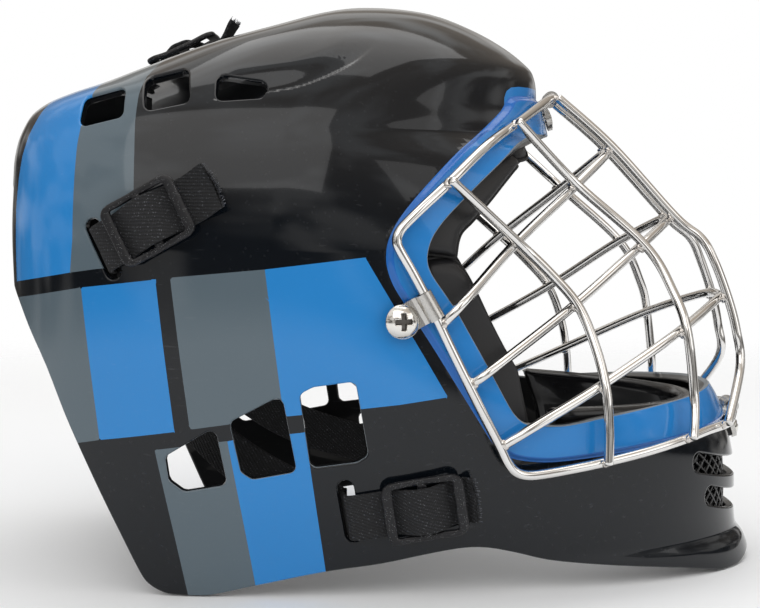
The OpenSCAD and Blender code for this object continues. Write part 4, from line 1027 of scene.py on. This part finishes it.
def strapPath(run, tail, curl=3.0):
    # Out of the slot, under the first bar, over the centre bar, under the last bar to the free end
    lie, c = webbing["lie"], slider["centreBar"] / 2
    return [(-run - 1.6, -shell["wall"] - 2.4), (-run - 1.2, -shell["wall"] / 2), (-run + 0.2, lie / 2),
            ((-run - halfSlider) / 2, lie), (-halfSlider - 1, lie), (-barEdge + 0.8, lie),
            (-barEdge + 3.4, lie + 1.7), (-c - 3.2, loopHeight - 1), (-c - 1, loopHeight - 0.1),
            (0, loopHeight), (c + 1, loopHeight - 0.1), (c + 3.2, loopHeight - 1), (barEdge - 3.4, lie + 1.7),
            (barEdge - 0.8, lie), (halfSlider + 1, lie + 0.1), (halfSlider + tail * 0.45, lie + curl / 3),
            (halfSlider + tail, lie + curl)]


def addBand(pieces, path, across, seed, cup):
    # Webbing with rounded edges, a slightly raised edge weave and a frayed far end
    path = np.asarray(path, float)
    t, a, b = pathFrames(path, across)
    w, h, e = webbing["width"] / 2, webbing["thick"] / 2, webbing["edge"]
    flatPart = np.linspace(-w + webbing["border"], w - webbing["border"], 9)
    level = np.full(9, h * webbing["hollow"])
    corner = np.radians(np.linspace(90, -90, 7))
    right = np.stack([w - e + e * np.cos(corner), h * np.sin(corner)], -1)
    ring = np.vstack([np.stack([flatPart, level], -1), right, np.stack([flatPart[::-1], -level], -1), -right])
    length = runLength(path)
    cupped = cup * smoothStep(length - length[-1], -webbing["cupLength"], 0)[:, None] * (ring[None, :, 0] / w) ** 2
    points = path[:, None] + ring[None, :, :1] * a[:, None] + (ring[None, :, 1:] + cupped[..., None]) * b[:, None]
    uv = np.stack(np.broadcast_arrays(ring[None, :, 0] + w, length[:, None] + seed), -1)
    pieces.add(*closedRings(points), np.vstack([uv.reshape(-1, 2), [[w, 0], [w, length[-1]]]]))
    rng = np.random.default_rng(seed)
    end, way, a, b = path[-1], t[-1], a[-1], b[-1]
    for s in np.linspace(-w + fray["inset"], w - fray["inset"], fray["yarns"]):
        out = rng.uniform(-0.6, 0.6) * h + cup * (s / w) ** 2
        root = end + s * a + out * b - way * fray["root"]
        tip = root + way * rng.uniform(*fray["length"]) + a * rng.normal(0, fray["stray"]) \
            + b * rng.normal(fray["lift"], fray["stray"])
        middle = (root + tip) / 2 + b * rng.normal(0, fray["lift"])
        addTube(pieces, [root, middle, tip], rng.uniform(*fray["thick"]), steady(b), sides=4, which=1)


def denseRun(points, step=0.9):
    run = spline(points, 10)
    length = runLength(run)
    s = np.linspace(0, length[-1], max(int(length[-1] / step), 4))
    return np.stack([np.interp(s, length, column) for column in run.T], -1)


def laidRun(axes, profile, under):
    # Run over the skin, from lengths along and heights over the skin's point under each length
    local = []
    for s, h in denseRun(profile):
        d = under(s) - axes[0]
        local.append((d @ axes[1], 0.0, d @ axes[3] + h))
    return put(axes, local)


def webbingObject(cadNode, path, across, seed, body=None, cup=0.0):
    pieces = Pieces()
    addBand(pieces, path, across, seed, cup)
    return pieces.onSide(cadNode).build(cadNode, [webbingCloth, frayFibre], "webbing", body)


def blendEnds(o, cadNode, ends):
    # Bakes the object's placement into its mesh. The ends are turned to the strap's side and into metres, but not
    # used further
    turned = flip if cadNode.endswith("right") else np.asarray
    [tuple(turned(p) * toMetres) for p in ends]
    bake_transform(o)


def outerStrap(cadNode, path, axes, run, seed, cup):
    # One mesh for the whole strap, from the slot through the slider, attached to no body
    o = webbingObject(cadNode, path, steady(axes[2])(path), seed, cup=cup)
    ends = put(axes, [(-run, 0, 0), (-halfSlider, 0, 0)])
    blendEnds(o, cadNode, ends)


def straps():
    for label, at, turn, axes, run, tail, seed, cup in (
            ("upper", upperAt, upperTurn, upperAxes, upperRun, upperTail, 11, 3.2),
            ("lower", lowerAt, lowerTurn, lowerAxes, lowerRun, lowerTail, 23, 1.2)):
        path = laidRun(axes, strapPath(run, tail), lambda s: seated(*alongSide(at, turn, s)))
        for side, _ in sides:
            outerStrap(f"{label}_strap_{side}", path, axes, run, seed, cup)
    axes = topAxes(topAt)
    profile = [(s, h + (topHump if s > -topRun + 1 else 0)) for s, h in strapPath(topRun, topTail, 6.5)]
    path = laidRun(axes, profile, lambda s: topPoint(topAt + s * axes[1][0]))
    outerStrap("top_strap", path, axes, topRun, 37, 2.0)


straps()

# Inner straps from the shell's slots to the slots of the back plate
plate = {"mid": np.array([-139.0, 0, 142]), "lean": 14.0, "width": 104.0, "height": 96.0, "thick": 3.0,
         "bend": 92.0, "padThick": 8.0}
lean = math.radians(plate["lean"])
plateIn, plateUp = np.array([math.cos(lean), 0, -math.sin(lean)]), np.array([math.sin(lean), 0, math.cos(lean)])
# Slots of the plate for the top, upper and lower strap: place across and up, and turn
plateSlots = [(0, plate["height"] / 2 - 8, 180), (plate["width"] / 2 - 9, 12, 90),
              (plate["width"] / 2 - 14, -plate["height"] / 2 + 17, 60)]
innerRun = {"leave": 5, "ahead": 6, "behind": 5, "shift": 0.6, "outOfWall": 3.9, "backFromSlot": 2.2,
            "upperBends": (14, 14.5, 9), "lowerBends": (13, 8.5), "topBends": (5, 7, 4.5, 2),
            "lowerRoute": [(-58, 76, 50), (-96, 62, 78)], "lowerWays": [(0.1, 0, 1), (0.25, 0.2, 1)],
            "blendFrom": 6, "blendTo": -12}


def platePoint(y, z, off=0.0):
    # Point on the plate's rear face, or further in, at a height along the plate
    r = plate["bend"] - off
    x = plate["bend"] - math.sqrt(r * r - y * y)
    return plate["mid"] + x * plateIn + np.array([0, y, 0]) + z * plateUp


def slotRun(k):
    a = math.radians(plateSlots[k][2])
    return np.array([0, math.cos(a), 0]) + math.sin(a) * plateUp


def slotBearing(k):
    return platePoint(*plateSlots[k][:2]) + innerRun["shift"] * np.cross(slotRun(k), plateIn)


def slotStart(a):
    return a[0] - (shell["wall"] + innerRun["outOfWall"]) * a[3] - innerRun["backFromSlot"] * a[1]


def upwards(v):
    return -v if v[2] < 0 else v


def innerStraps():
    leave, ahead, behind = innerRun["leave"], innerRun["ahead"] * plateIn, innerRun["behind"] * plateIn
    a, to, run = upperSlotAxes, slotBearing(1), slotRun(1)
    start, bends = slotStart(a), [b * plateIn for b in innerRun["upperBends"]]
    upper = ([start, start - leave * a[3], start * 0.45 + to * 0.55 + bends[0], to + [0, 9, 0] + bends[1],
              to + [0, 0.8, 0] + bends[2], to + ahead, to - behind], [upwards(a[2])] * 2 + [run] * 5)
    a, to, run = lowerSlotAxes, slotBearing(2), slotRun(2)
    start, bends = slotStart(a), [b * plateIn for b in innerRun["lowerBends"]]
    lower = ([start, start - leave * a[3] - [3, 0, 0], *innerRun["lowerRoute"], to + [0, 4, -3] + bends[0],
              to + [0, 0.5, -0.3] + bends[1], to + ahead, to - behind],
             [upwards(a[2])] * 2 + innerRun["lowerWays"] + [run] * 4)
    for label, (points, across), seed in (("upper", upper, 51), ("lower", lower, 67)):
        path = denseRun(points, 1.5)
        share, given = np.linspace(0, 1, len(path)), np.linspace(0, 1, len(points))
        ways = unit(np.stack([np.interp(share, given, column) for column in np.array(across).T], -1))
        for side, _ in sides:
            cadNode = f"{label}_strap_inner_{side}"
            o = webbingObject(cadNode, path, ways, seed)
            blendEnds(o, cadNode, (path[innerRun["blendFrom"]], path[innerRun["blendTo"]]))
    start = slotStart(topAxes(topAt - topRun, 0))
    to, bends = slotBearing(0), [b * plateIn for b in innerRun["topBends"]]
    points = [start, start * 0.5 + to * 0.5 + bends[0], to + bends[1] + 5 * plateUp, to + bends[2] + 0.6 * plateUp,
              to + bends[3], to - behind]
    path = denseRun(points, 1.2)
    webbingObject("top_strap_inner", path, steady(slotRun(0))(path), 83, "back_rest")


innerStraps()
print("stage: webbing")


def sliderPieces(axes, seed):
    # Three-bar adjuster: a rounded rail all round and a centre bar, the outer end slightly raised
    pieces = Pieces()
    r, n = slider["corner"], slider["sides"]
    x, y = halfSlider - slider["endBar"] / 2, (slider["windowWidth"] + slider["rail"]) / 2
    corner = np.radians(np.linspace(0, 90, 7))
    quarter = np.stack([x - r + r * np.cos(corner), y - r + r * np.sin(corner)], -1)
    path = np.vstack([quarter, quarter[::-1] * [-1, 1], quarter * [-1, -1], quarter[::-1] * [1, -1]])
    dense = []
    for a, b in zip(path, np.roll(path, -1, axis=0)):
        steps = max(int(np.linalg.norm(b - a) / slider["step"]), 1)
        dense += [a + (b - a) * k / steps for k in range(steps)]
    path = np.array(dense)
    t = unit(np.roll(path, -1, axis=0) - np.roll(path, 1, axis=0))
    out = np.stack([t[:, 1], -t[:, 0]], -1)
    share = np.abs(out[:, 0]) ** 2
    half = (slider["rail"] * (1 - share) + slider["endBar"] * share) / 2
    angle = np.linspace(0, 2 * np.pi, n, endpoint=False)
    ring = np.stack([signedPower(way(angle), p) for way, p in zip((np.cos, np.sin), slider["squared"])], -1)
    h = slider["thick"] / 2
    uneven = 1 + slider["uneven"] * np.sin(np.arange(len(path)) * 0.7 + seed)
    flat = path[:, None] + (half * uneven)[:, None, None] * ring[None, :, :1] * out[:, None]
    rise = slider["rise"] * smoothStep(path[:, 0], 1.0, halfSlider) \
        + slider["bow"] * np.sin(np.pi * np.clip(path[:, 0] / barEdge, -1, 1)) * (path[:, 0] < 0)
    height = railHeight + h + rise[:, None] + h * ring[None, :, 1]
    pieces.add(put(axes, np.concatenate([flat, height[..., None]], -1).reshape(-1, 3)),
               gridFaces(len(path), n, wrapRows=True, wrapColumns=True))
    across = np.linspace(-y, y, slider["barRings"])[:, None]
    bar = np.broadcast_arrays(slider["centreBar"] / 2 * ring[None, :, 0], across,
                              railHeight + h + slider["barThick"] * h * ring[None, :, 1])
    pieces.add(*closedRings(put(axes, np.stack(bar, -1).reshape(-1, 3)).reshape(-1, n, 3)))
    return pieces


for cadNode, axes, seed in (("upper_slider_left", upperAxes, 1), ("upper_slider_right", upperAxes, 1),
                            ("lower_slider_left", lowerAxes, 2), ("lower_slider_right", lowerAxes, 2),
                            ("top_slider", topAxes(topAt), 3)):
    pieces = sliderPieces(axes, seed).onSide(cadNode)
    pieces.build(cadNode, [sliderPlastic], "slider_plastic", cadNode.replace("slider", "adjuster"))
print("stage: adjusters")

# Liners, the chin cup and the net behind the chin vents
liner = {"thick": 10.0, "edge": 4.2, "crown": 1.5, "swell": 22, "piping": 0.9, "groove": 2.2, "grooveFall": 42}
cushion = {"pressure": 4.0, "frames": 20, "cap": 1.6, "pull": 0.05}


def puffed(points, faces, free):
    # Cushion cloth under a little pressure. free is how much of the movement each point keeps
    o = newMesh("puffing", points, faces, [], body=None)
    modifier = o.modifiers.new("cloth", "CLOTH")
    modifier.settings.use_pressure = True
    modifier.settings.uniform_pressure_force = cushion["pressure"]
    modifier.settings.effector_weights.gravity = 0
    modifier.settings.quality = 4
    for k in range(1, cushion["frames"] + 1):
        bpy.context.scene.frame_set(k)
    settled = o.evaluated_get(bpy.context.evaluated_depsgraph_get()).data
    moved = np.empty(len(points) * 3)
    settled.vertices.foreach_get("co", moved)
    shift = moved.reshape(-1, 3) / toMetres - points
    most = np.linalg.norm(shift, axis=1, keepdims=True)
    shift *= np.minimum(1, cushion["cap"] / np.maximum(most, 1e-6))
    bpy.context.scene.frame_set(1)
    bpy.data.objects.remove(o)
    print("stage: cloth moved by up to", round(float(most.max()), 1), "mm, kept", cushion["cap"])
    return points + shift * free[:, None]


def padObject(cadNode, outer, inward, thick, skinMaterial, body="mask", slotName="foam", fill=0.7,
              wave=0.35, piping=True, edge=liner["edge"], cloth=False, grooves=()):
    # Cushion between a mounting face and a crowned inner face. outer is a grid of points and inward the
    # directions from them into the mask
    n, m = outer.shape[:2]
    i, j = runLength(outer[:, m // 2])[:, None], runLength(outer[n // 2])[None, :]
    a, b = np.minimum(i, i[-1] - i), np.minimum(j, j[:, -1:] - j)
    full = np.sqrt(np.clip(1 - (1 - np.clip(np.minimum(a, b) / edge, 0, 1)) ** 2, 0, 1))
    swell = smoothStep(a, 0, liner["swell"]) * smoothStep(b, 0, liner["swell"])
    ripple = wave * (np.sin(i * 0.21 + j * 0.13) + np.sin(i * 0.09 - j * 0.27 + 1.3)) * full * 0.5
    for place in grooves:
        ripple = ripple - liner["groove"] * full * np.exp(-((i / i[-1] - place) * liner["grooveFall"]) ** 2)
    height = thick - liner["crown"] + liner["crown"] * swell + ripple
    seam = 0.5 * (thick - liner["crown"])
    back = outer + ((1 - full) * seam)[..., None] * inward
    face = outer + (seam + full * (height - seam))[..., None] * inward

    # Two sheets that share their border, with the four corner quads cut to a bevel
    quads, order = gridFaces(n, m), np.arange(n * m).reshape(n, m)
    inner = np.zeros((n, m), bool)
    inner[1:-1, 1:-1] = True
    ends = np.isin(quads, order[[0, 0, -1, -1], [0, -1, 0, -1]])
    bevel = np.array([np.roll(q, -1 - np.argmax(e))[:3] for q, e in zip(quads[ends.any(1)], ends[ends.any(1)])])
    quads = quads[~ends.any(1)]
    second = order.copy()
    second[inner] = n * m + np.arange(inner.sum())
    points = np.concatenate([back.reshape(-1, 3), face[inner]])
    faces = [quads, second.ravel()[quads][:, ::-1], bevel, second.ravel()[bevel][:, ::-1]]
    if cloth:
        points = puffed(points, faces, np.concatenate([np.zeros(n * m), full[inner]]))
    pieces = Pieces()
    pieces.add(points, faces)
    if piping:
        loop = np.concatenate([back[:, 0], back[-1, 1:], back[-2::-1, -1], back[0, -2:0:-1]])
        addTube(pieces, loop, liner["piping"], lambda p: unit(p - loop.mean(0)), sides=8, closed=True, which=1)
    pieces.build(cadNode, [skinMaterial, pipingCloth], slotName, body)


def sideLiner(low, high, off, rows=40, columns=26):
    # Grid on the skin between two side-view edges, and the directions inward
    s, t = np.linspace(0, 1, rows), np.linspace(0, 1, columns)[None, :, None]
    low, high = (np.stack([np.interp(s, np.linspace(0, 1, len(run)), column) for column in run.T], -1)[:, None]
                 for run in (spline(low, 16), spline(high, 16)))
    x, z = np.moveaxis(low * (1 - t) + high * t, -1, 0)
    return seated(x, z, off + 0 * x), -skinNormal(angleAt(x, z), z)


def wrapLiner(place, off, rows=60, columns=26):
    # Grid round the front. Each edge has its height in the middle and its rise per degree to the side
    u = np.linspace(-place["halfSpan"], place["halfSpan"], rows)[:, None]
    t = np.linspace(0, 1, columns)[None, :]
    low, high = (place[edge][0] + place[edge][1] * np.abs(u) for edge in ("low", "high"))
    z = low * (1 - t) + high * t
    u = u + 0 * z
    return skin(u, z, off + 0 * z), -skinNormal(u, z)


linerOff = -shell["wall"] - shell["gap"]
forehead = {"halfSpan": 28, "low": (197, -0.26), "high": (228, -0.1)}
padObject("forehead_pad", *wrapLiner(forehead, linerOff), liner["thick"], foamSkin)
sideLiners = {"temple": {"low": [(57, 183), (45.8, 169), (36.5, 158.2), (30.6, 151.6), (28.6, 142)],
                         "high": [(46, 192), (36, 185), (20, 172), (4, 158), (-4, 146)], "extra": 0},
              "cheek": {"low": [(66, 36), (50, 37), (34, 38), (17, 58)],
                        "high": [(54.4, 94.6), (45.1, 111.5), (30, 139.8), (15, 141)], "extra": 2}}
for label, place in sideLiners.items():
    grid, inward = sideLiner(place["low"], place["high"], linerOff)
    for side, turned in sides:
        g, w = turned(grid), turned(inward)
        if side == "right":
            g, w = g[:, ::-1], w[:, ::-1]
        padObject(f"{label}_pad_{side}", g, w, liner["thick"] + place["extra"], foamSkin)


def crownLevel(x, y):
    # Height of the skin over a place, found by halving
    low, high = np.full(x.shape, 190.0), np.full(x.shape, shell["crown"])
    for _ in range(24):
        z = (low + high) / 2
        middle, reach, p = section(x >= widestPlace(z), z)
        inside = (np.abs(x - middle) / reach) ** p + (np.abs(y) / np.maximum(halfWidth(z), 0.01)) ** p < 1
        low, high = np.where(inside, z, low), np.where(inside, high, z)
    return (low + high) / 2


def pulledIn(along, across):
    # Cushion outline whose sides draw in between the corners
    a, b = np.meshgrid(along, across, indexing="ij")
    s, t = (np.sin(np.pi * (v - v.min()) / np.ptp(v)) for v in (a, b))
    middle = (along[0] + along[-1]) / 2
    return middle + (a - middle) * (1 - cushion["pull"] * t * 0.6), b * (1 - cushion["pull"] * s)


crownPlace = {"front": 28, "rear": -94, "halfWidth": 36, "probe": 2}


def crownGrid(depth, rows=50, columns=34):
    half, probe = crownPlace["halfWidth"], crownPlace["probe"]
    x, y = pulledIn(np.linspace(crownPlace["front"], crownPlace["rear"], rows), np.linspace(half, -half, columns))
    p, ahead, beside = (np.stack([x + dx, y + dy, crownLevel(x + dx, y + dy)], -1)
                        for dx, dy in ((0, 0), (probe, 0), (0, probe)))
    n = unit(np.cross(ahead - p, beside - p))
    return p - depth * n, -n


padObject("crown_pad", *crownGrid(shell["wall"] + shell["gap"]), liner["thick"], coverCloth, fill=0.75,
          cloth=True, grooves=(0.34, 0.66))
platePad = {"halfWidth": (plate["width"] - 40) / 2, "halfHeight": (plate["height"] - 34) / 2,
            "thick": plate["padThick"] - 0.6, "off": plate["thick"] + 0.4}


def platePadGrid(rows=44, columns=40):
    w, h = platePad["halfWidth"], platePad["halfHeight"]
    z, y = pulledIn(np.linspace(-h, h, rows), np.linspace(-w, w, columns))
    a = np.arcsin(y / (plate["bend"] - platePad["off"]))[..., None]
    grid = np.array([[platePoint(q, p, platePad["off"]) for q, p in zip(ys, zs)] for ys, zs in zip(y, z)])
    inward = np.cos(a) * plateIn - np.sin(a) * np.array([0, 1, 0])
    return grid[:, ::-1], inward[:, ::-1]


padObject("back_plate_pad", *platePadGrid(), platePad["thick"], coverCloth, body="back_rest",
          cloth=True, grooves=(0.5,))
print("stage: liners")

meshOff = linerOff - 0.2
cup = {"halfSpan": 54, "low": (24, 0.1), "high": (81.5, -0.05), "off": meshOff - 1.2 - 0.3}
padObject("chin_cup", *wrapLiner(cup, cup["off"], rows=90, columns=34), liner["thick"], cupGloss,
          slotName="chin_cup", wave=0.15, piping=False, edge=4.8)
net = {"halfSpan": 35.0, "low": 20.0, "high": 56.0, "middle": 38.0, "cell": 8.4, "lean": 1.25, "rib": 0.75,
       "border": 0.9, "off": meshOff - 0.6}


def makeChinMesh():
    # Moulded diamond net: two sets of slanting ribs and a border
    pieces = Pieces()
    middle, low, high = net["middle"], net["low"], net["high"]
    perDegree = np.linalg.norm(skin(1.0, middle) - skin(0.0, middle))
    span, height, ahead = net["halfSpan"] * perDegree, high - low, steady(skinNormal(0.0, middle))

    def place(s, z):
        return skin(s / perDegree, z, net["off"] + 0 * z)

    t = np.linspace(0, height, 19)
    for way in (1, -1):
        for start in np.arange(-span - net["lean"] * height, span + net["lean"] * height, net["cell"]):
            s = start + way * net["lean"] * t
            ok = (s > -span) & (s < span)
            if ok.sum() >= 2:
                addTube(pieces, place(s[ok], low + t[ok]), net["rib"], ahead, sides=5)
    across, up = np.linspace(-span, span, 60), np.linspace(low, high, 14)
    for z in (low, high):
        addTube(pieces, place(across, np.full(60, z)), net["border"], steady([0, 0, 1.0]), sides=6)
    for s in (-span, span):
        addTube(pieces, place(np.full(14, s), up), net["border"], ahead, sides=6)
    pieces.build("chin_mesh", [meshPlastic], "mesh")


makeChinMesh()
print("stage: chin")

# Screws: place, seat over the skin, head's diameter and height, and turn of the recess in radians
sheet, shankRadius = 1.0, 2.5
screws = [(placeAxes(4.6, 116.6, 30.5), shell["bandRise"] + 0.4, 14.0, 3.6, 0.5),
          (frontAxes(58.8, -1), 1.7, 10.5, 2.6, 0.2),
          (frontAxes(202.8, -1), shell["bandRise"] + 0.8, 10.5, 1.2, 0.8)]


recess = {"arm": 0.25, "width": 0.075, "depth": 0.45, "wall": (-0.28, 0.12), "dark": 0.3}
rimRings = ((0.15, 1.0), (0.4, 0.985), (0.5, 0.6))


def addScrew(pieces, axes, seat, d, h, turn):
    # Domed head with a cross recess, whose sizes are shares of the head's
    base, radius = seat + 2 * sheet + 0.05, d / 2
    domeR = (d * d / 4 + h * h) / (2 * h)
    radii = np.concatenate([np.linspace(0.05, 0.5, 17), np.linspace(0.53, 0.97, 12), [0.995, 1.0]]) * d / 2
    around = 72
    angle = np.linspace(0, 2 * np.pi, around, endpoint=False)
    r, q = np.meshgrid(radii, angle, indexing="ij")
    x, y = r * np.cos(q), r * np.sin(q)
    cx, cy = x * math.cos(turn) + y * math.sin(turn), -x * math.sin(turn) + y * math.cos(turn)
    arm, wide = recess["arm"] * d, recess["width"] * d
    cross = np.minimum(np.maximum(np.abs(cx) - arm, np.abs(cy) - wide),
                       np.maximum(np.abs(cy) - arm, np.abs(cx) - wide))
    depth = recess["depth"] * h * (1 - smoothStep(cross, *recess["wall"])) * (1 + 0.5 * (1 - r / radius))
    top = base + h - domeR + np.sqrt(np.maximum(domeR ** 2 - r ** 2, 0)) - depth
    rings = [np.stack([x, y, top], -1)]
    for drop, share in rimRings:
        rings.append(np.stack([share * radius * np.cos(angle), share * radius * np.sin(angle),
                               np.full(around, base + 0.35 - drop)], -1)[None])
    cloud = np.concatenate(rings)
    points, (quads, caps) = closedRings(put(axes, cloud.reshape(-1, 3)).reshape(cloud.shape))
    cut = np.zeros(cloud.shape[:2])
    cut[:len(depth)] = depth
    # Faces deep in the cross recess get the dark metal: painted shade
    deep = cut.ravel()[quads].mean(1) > recess["dark"] * h
    pieces.add(points, [quads[~deep], quads[deep], caps[:around], caps[around:]], which=[0, 1, 1, 0])
    shank = put(axes, [(0, 0, base - 0.1), (0, 0, -shell["wall"] + 0.6)])
    addTube(pieces, shank, shankRadius, steady(axes[1]), sides=20)


def makeScrews():
    pieces = Pieces()
    addScrew(pieces, *screws[0])
    pieces.merge(pieces.mirrored())
    addScrew(pieces, *screws[1])
    addScrew(pieces, *screws[2])
    pieces.build("clip_screws", [screwMetal, recessShadeMetal], "screw_metal")


makeScrews()

# Pieces shown as their solids: material, slot and width of the softened edges
clipFinish = (clipMetal, "clip_sheet", 0.25)
cadFinish = {"side_clip_left": clipFinish, "side_clip_right": clipFinish, "brow_clip": clipFinish,
             "chin_clip": clipFinish, "clip_washers": (rubber, "washer_rubber", 0.2),
             "clip_nuts": (screwMetal, "screw_metal", 0.3), "back_plate": (platePlastic, "plate", 0.6)}
for name, (m, slotName, bevel) in cadFinish.items():
    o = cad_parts[name]
    o.data.materials.clear()
    o.data.materials.append(m)
    mod = o.modifiers.new("softened edges", "BEVEL")
    mod.width, mod.segments, mod.limit_method = bevel * toMetres, 3, "ANGLE"
    mod.angle_limit, mod.harden_normals = math.radians(40), True
print("stage: small parts")

# Light, floor and camera
scene = bpy.context.scene
scene.view_settings.view_transform = "Standard"


def makeWorld():
    # Even white light for matt surfaces, a soft room of darker and paler patches for glossy ones
    world = bpy.data.worlds.new("studio")
    scene.world = world
    world.use_nodes = True
    t = world.node_tree
    t.nodes.clear()
    white, warmDark, warmGrey, pale = (1, 1, 1, 1), (0.08, 0.075, 0.07, 1), (0.4, 0.31, 0.22, 1), (0.95, 0.93, 0.9, 1)
    place = node(t, "ShaderNodeTexCoord").outputs["Generated"]
    height = node(t, "ShaderNodeSeparateXYZ", {0: place}).outputs["Z"]
    even, overhead = ranged(t, height, -0.1, 0.7, 0.5, 0.72), ranged(t, height, 0.1, 0.8)
    patch = noise(t, drawnOut(t, place, (2.2, 2.2, 5.0)), 1.0, 2.0)
    share = (ranged(t, patch, 0.42, 0.62, how="SMOOTHSTEP") * 0.7 + overhead * 0.3).clamped()
    room = mixColour(t, share, mixColour(t, overhead, warmDark, warmGrey), pale)
    matt, glossy, seen = (node(t, "ShaderNodeBackground", {"Color": tint, "Strength": strength}).outputs[0]
                          for tint, strength in ((white, even), (room, 1.0), (white, 1.0)))
    ray = node(t, "ShaderNodeLightPath").outputs
    lit = node(t, "ShaderNodeMixShader", {0: ray["Is Glossy Ray"], 1: matt, 2: glossy}).outputs[0]
    shown = node(t, "ShaderNodeMixShader", {0: ray["Is Camera Ray"], 1: lit, 2: seen}).outputs[0]
    node(t, "ShaderNodeOutputWorld", {"Surface": shown})


def areaLight(name, place, target, size, power):
    data = bpy.data.lights.new(name, "AREA")
    data.shape, data.size, data.size_y, data.energy = "RECTANGLE", size[0], size[1], power
    o = bpy.data.objects.new(name, data)
    o.location = place
    o.rotation_euler = (Vector(target) - Vector(place)).to_track_quat("-Z", "Y").to_euler()
    scene.collection.objects.link(o)


def makeFloorGroup():
    # Plain pale board that fades out with distance, so that no horizon shows
    g, i, o = newGroup("floor finish", {"Tint": (0.9, 0.9, 0.9, 1), "Near": 0.5, "Far": 1.2},
                       ("Color", "Roughness", "Height", "Cover"))
    place = objectPlace(g)
    distance = node(g, "ShaderNodeVectorMath", {0: place}, operation="LENGTH").outputs["Value"]
    grain = noise(g, place, 300.0, 3.0)
    cover = ranged(g, distance, i["Near"], i["Far"], 1.0, 0.0, "SMOOTHSTEP")
    return closeGroup(g, o, i["Tint"], grain * 0.1 + 0.65, grain, cover)


def makeFloor():
    pieces = Pieces()
    span, n = 1300.0, 30
    x, y = np.meshgrid(np.linspace(-span, span, n), np.linspace(-span, span, n), indexing="ij")
    pieces.add(np.stack([x, y, -0.4 + 0 * x], -1), gridFaces(n, n))
    groups["floor"] = makeFloorGroup()
    m = material("floor", "floor", {"Tint": (0.93, 0.93, 0.93, 1)}, 0.02, specular=0.2)
    t = m.node_tree
    group = next(n for n in t.nodes if n.type == "GROUP")
    link(t, group.outputs["Cover"], t.nodes["Principled BSDF"].inputs["Alpha"])
    pieces.build("floor", [m], body=None)


makeWorld()
makeFloor()
centre = (0, 0, 0.12)
for name, place, size, power in (("key", (-0.35, -1.6, 1.5), (2.0, 1.5), 13),
                                 ("fill", (1.5, -1.0, 0.8), (1.2, 1.2), 4),
                                 ("top", (0.1, 0.3, 1.9), (1.8, 1.4), 11)):
    areaLight(name, place, centre, size, power)

# The photograph is taken from the right side, from a step away
view = {"place": (0.0147, -0.685, 0.1626), "lens": 68.5, "turn": -1.8, "tilt": -3.85}
camera = bpy.data.cameras.new("camera")
camera.lens, camera.sensor_width = view["lens"], 36
camera.clip_start, camera.clip_end = 0.01, 50
cameraObject = bpy.data.objects.new("camera", camera)
cameraObject.location = view["place"]
aim = Vector((math.tan(math.radians(view["turn"])), 1, math.tan(math.radians(view["tilt"]))))
cameraObject.rotation_euler = aim.to_track_quat("-Z", "Y").to_euler()
scene.collection.objects.link(cameraObject)
scene.camera = cameraObject

print("stage: done")
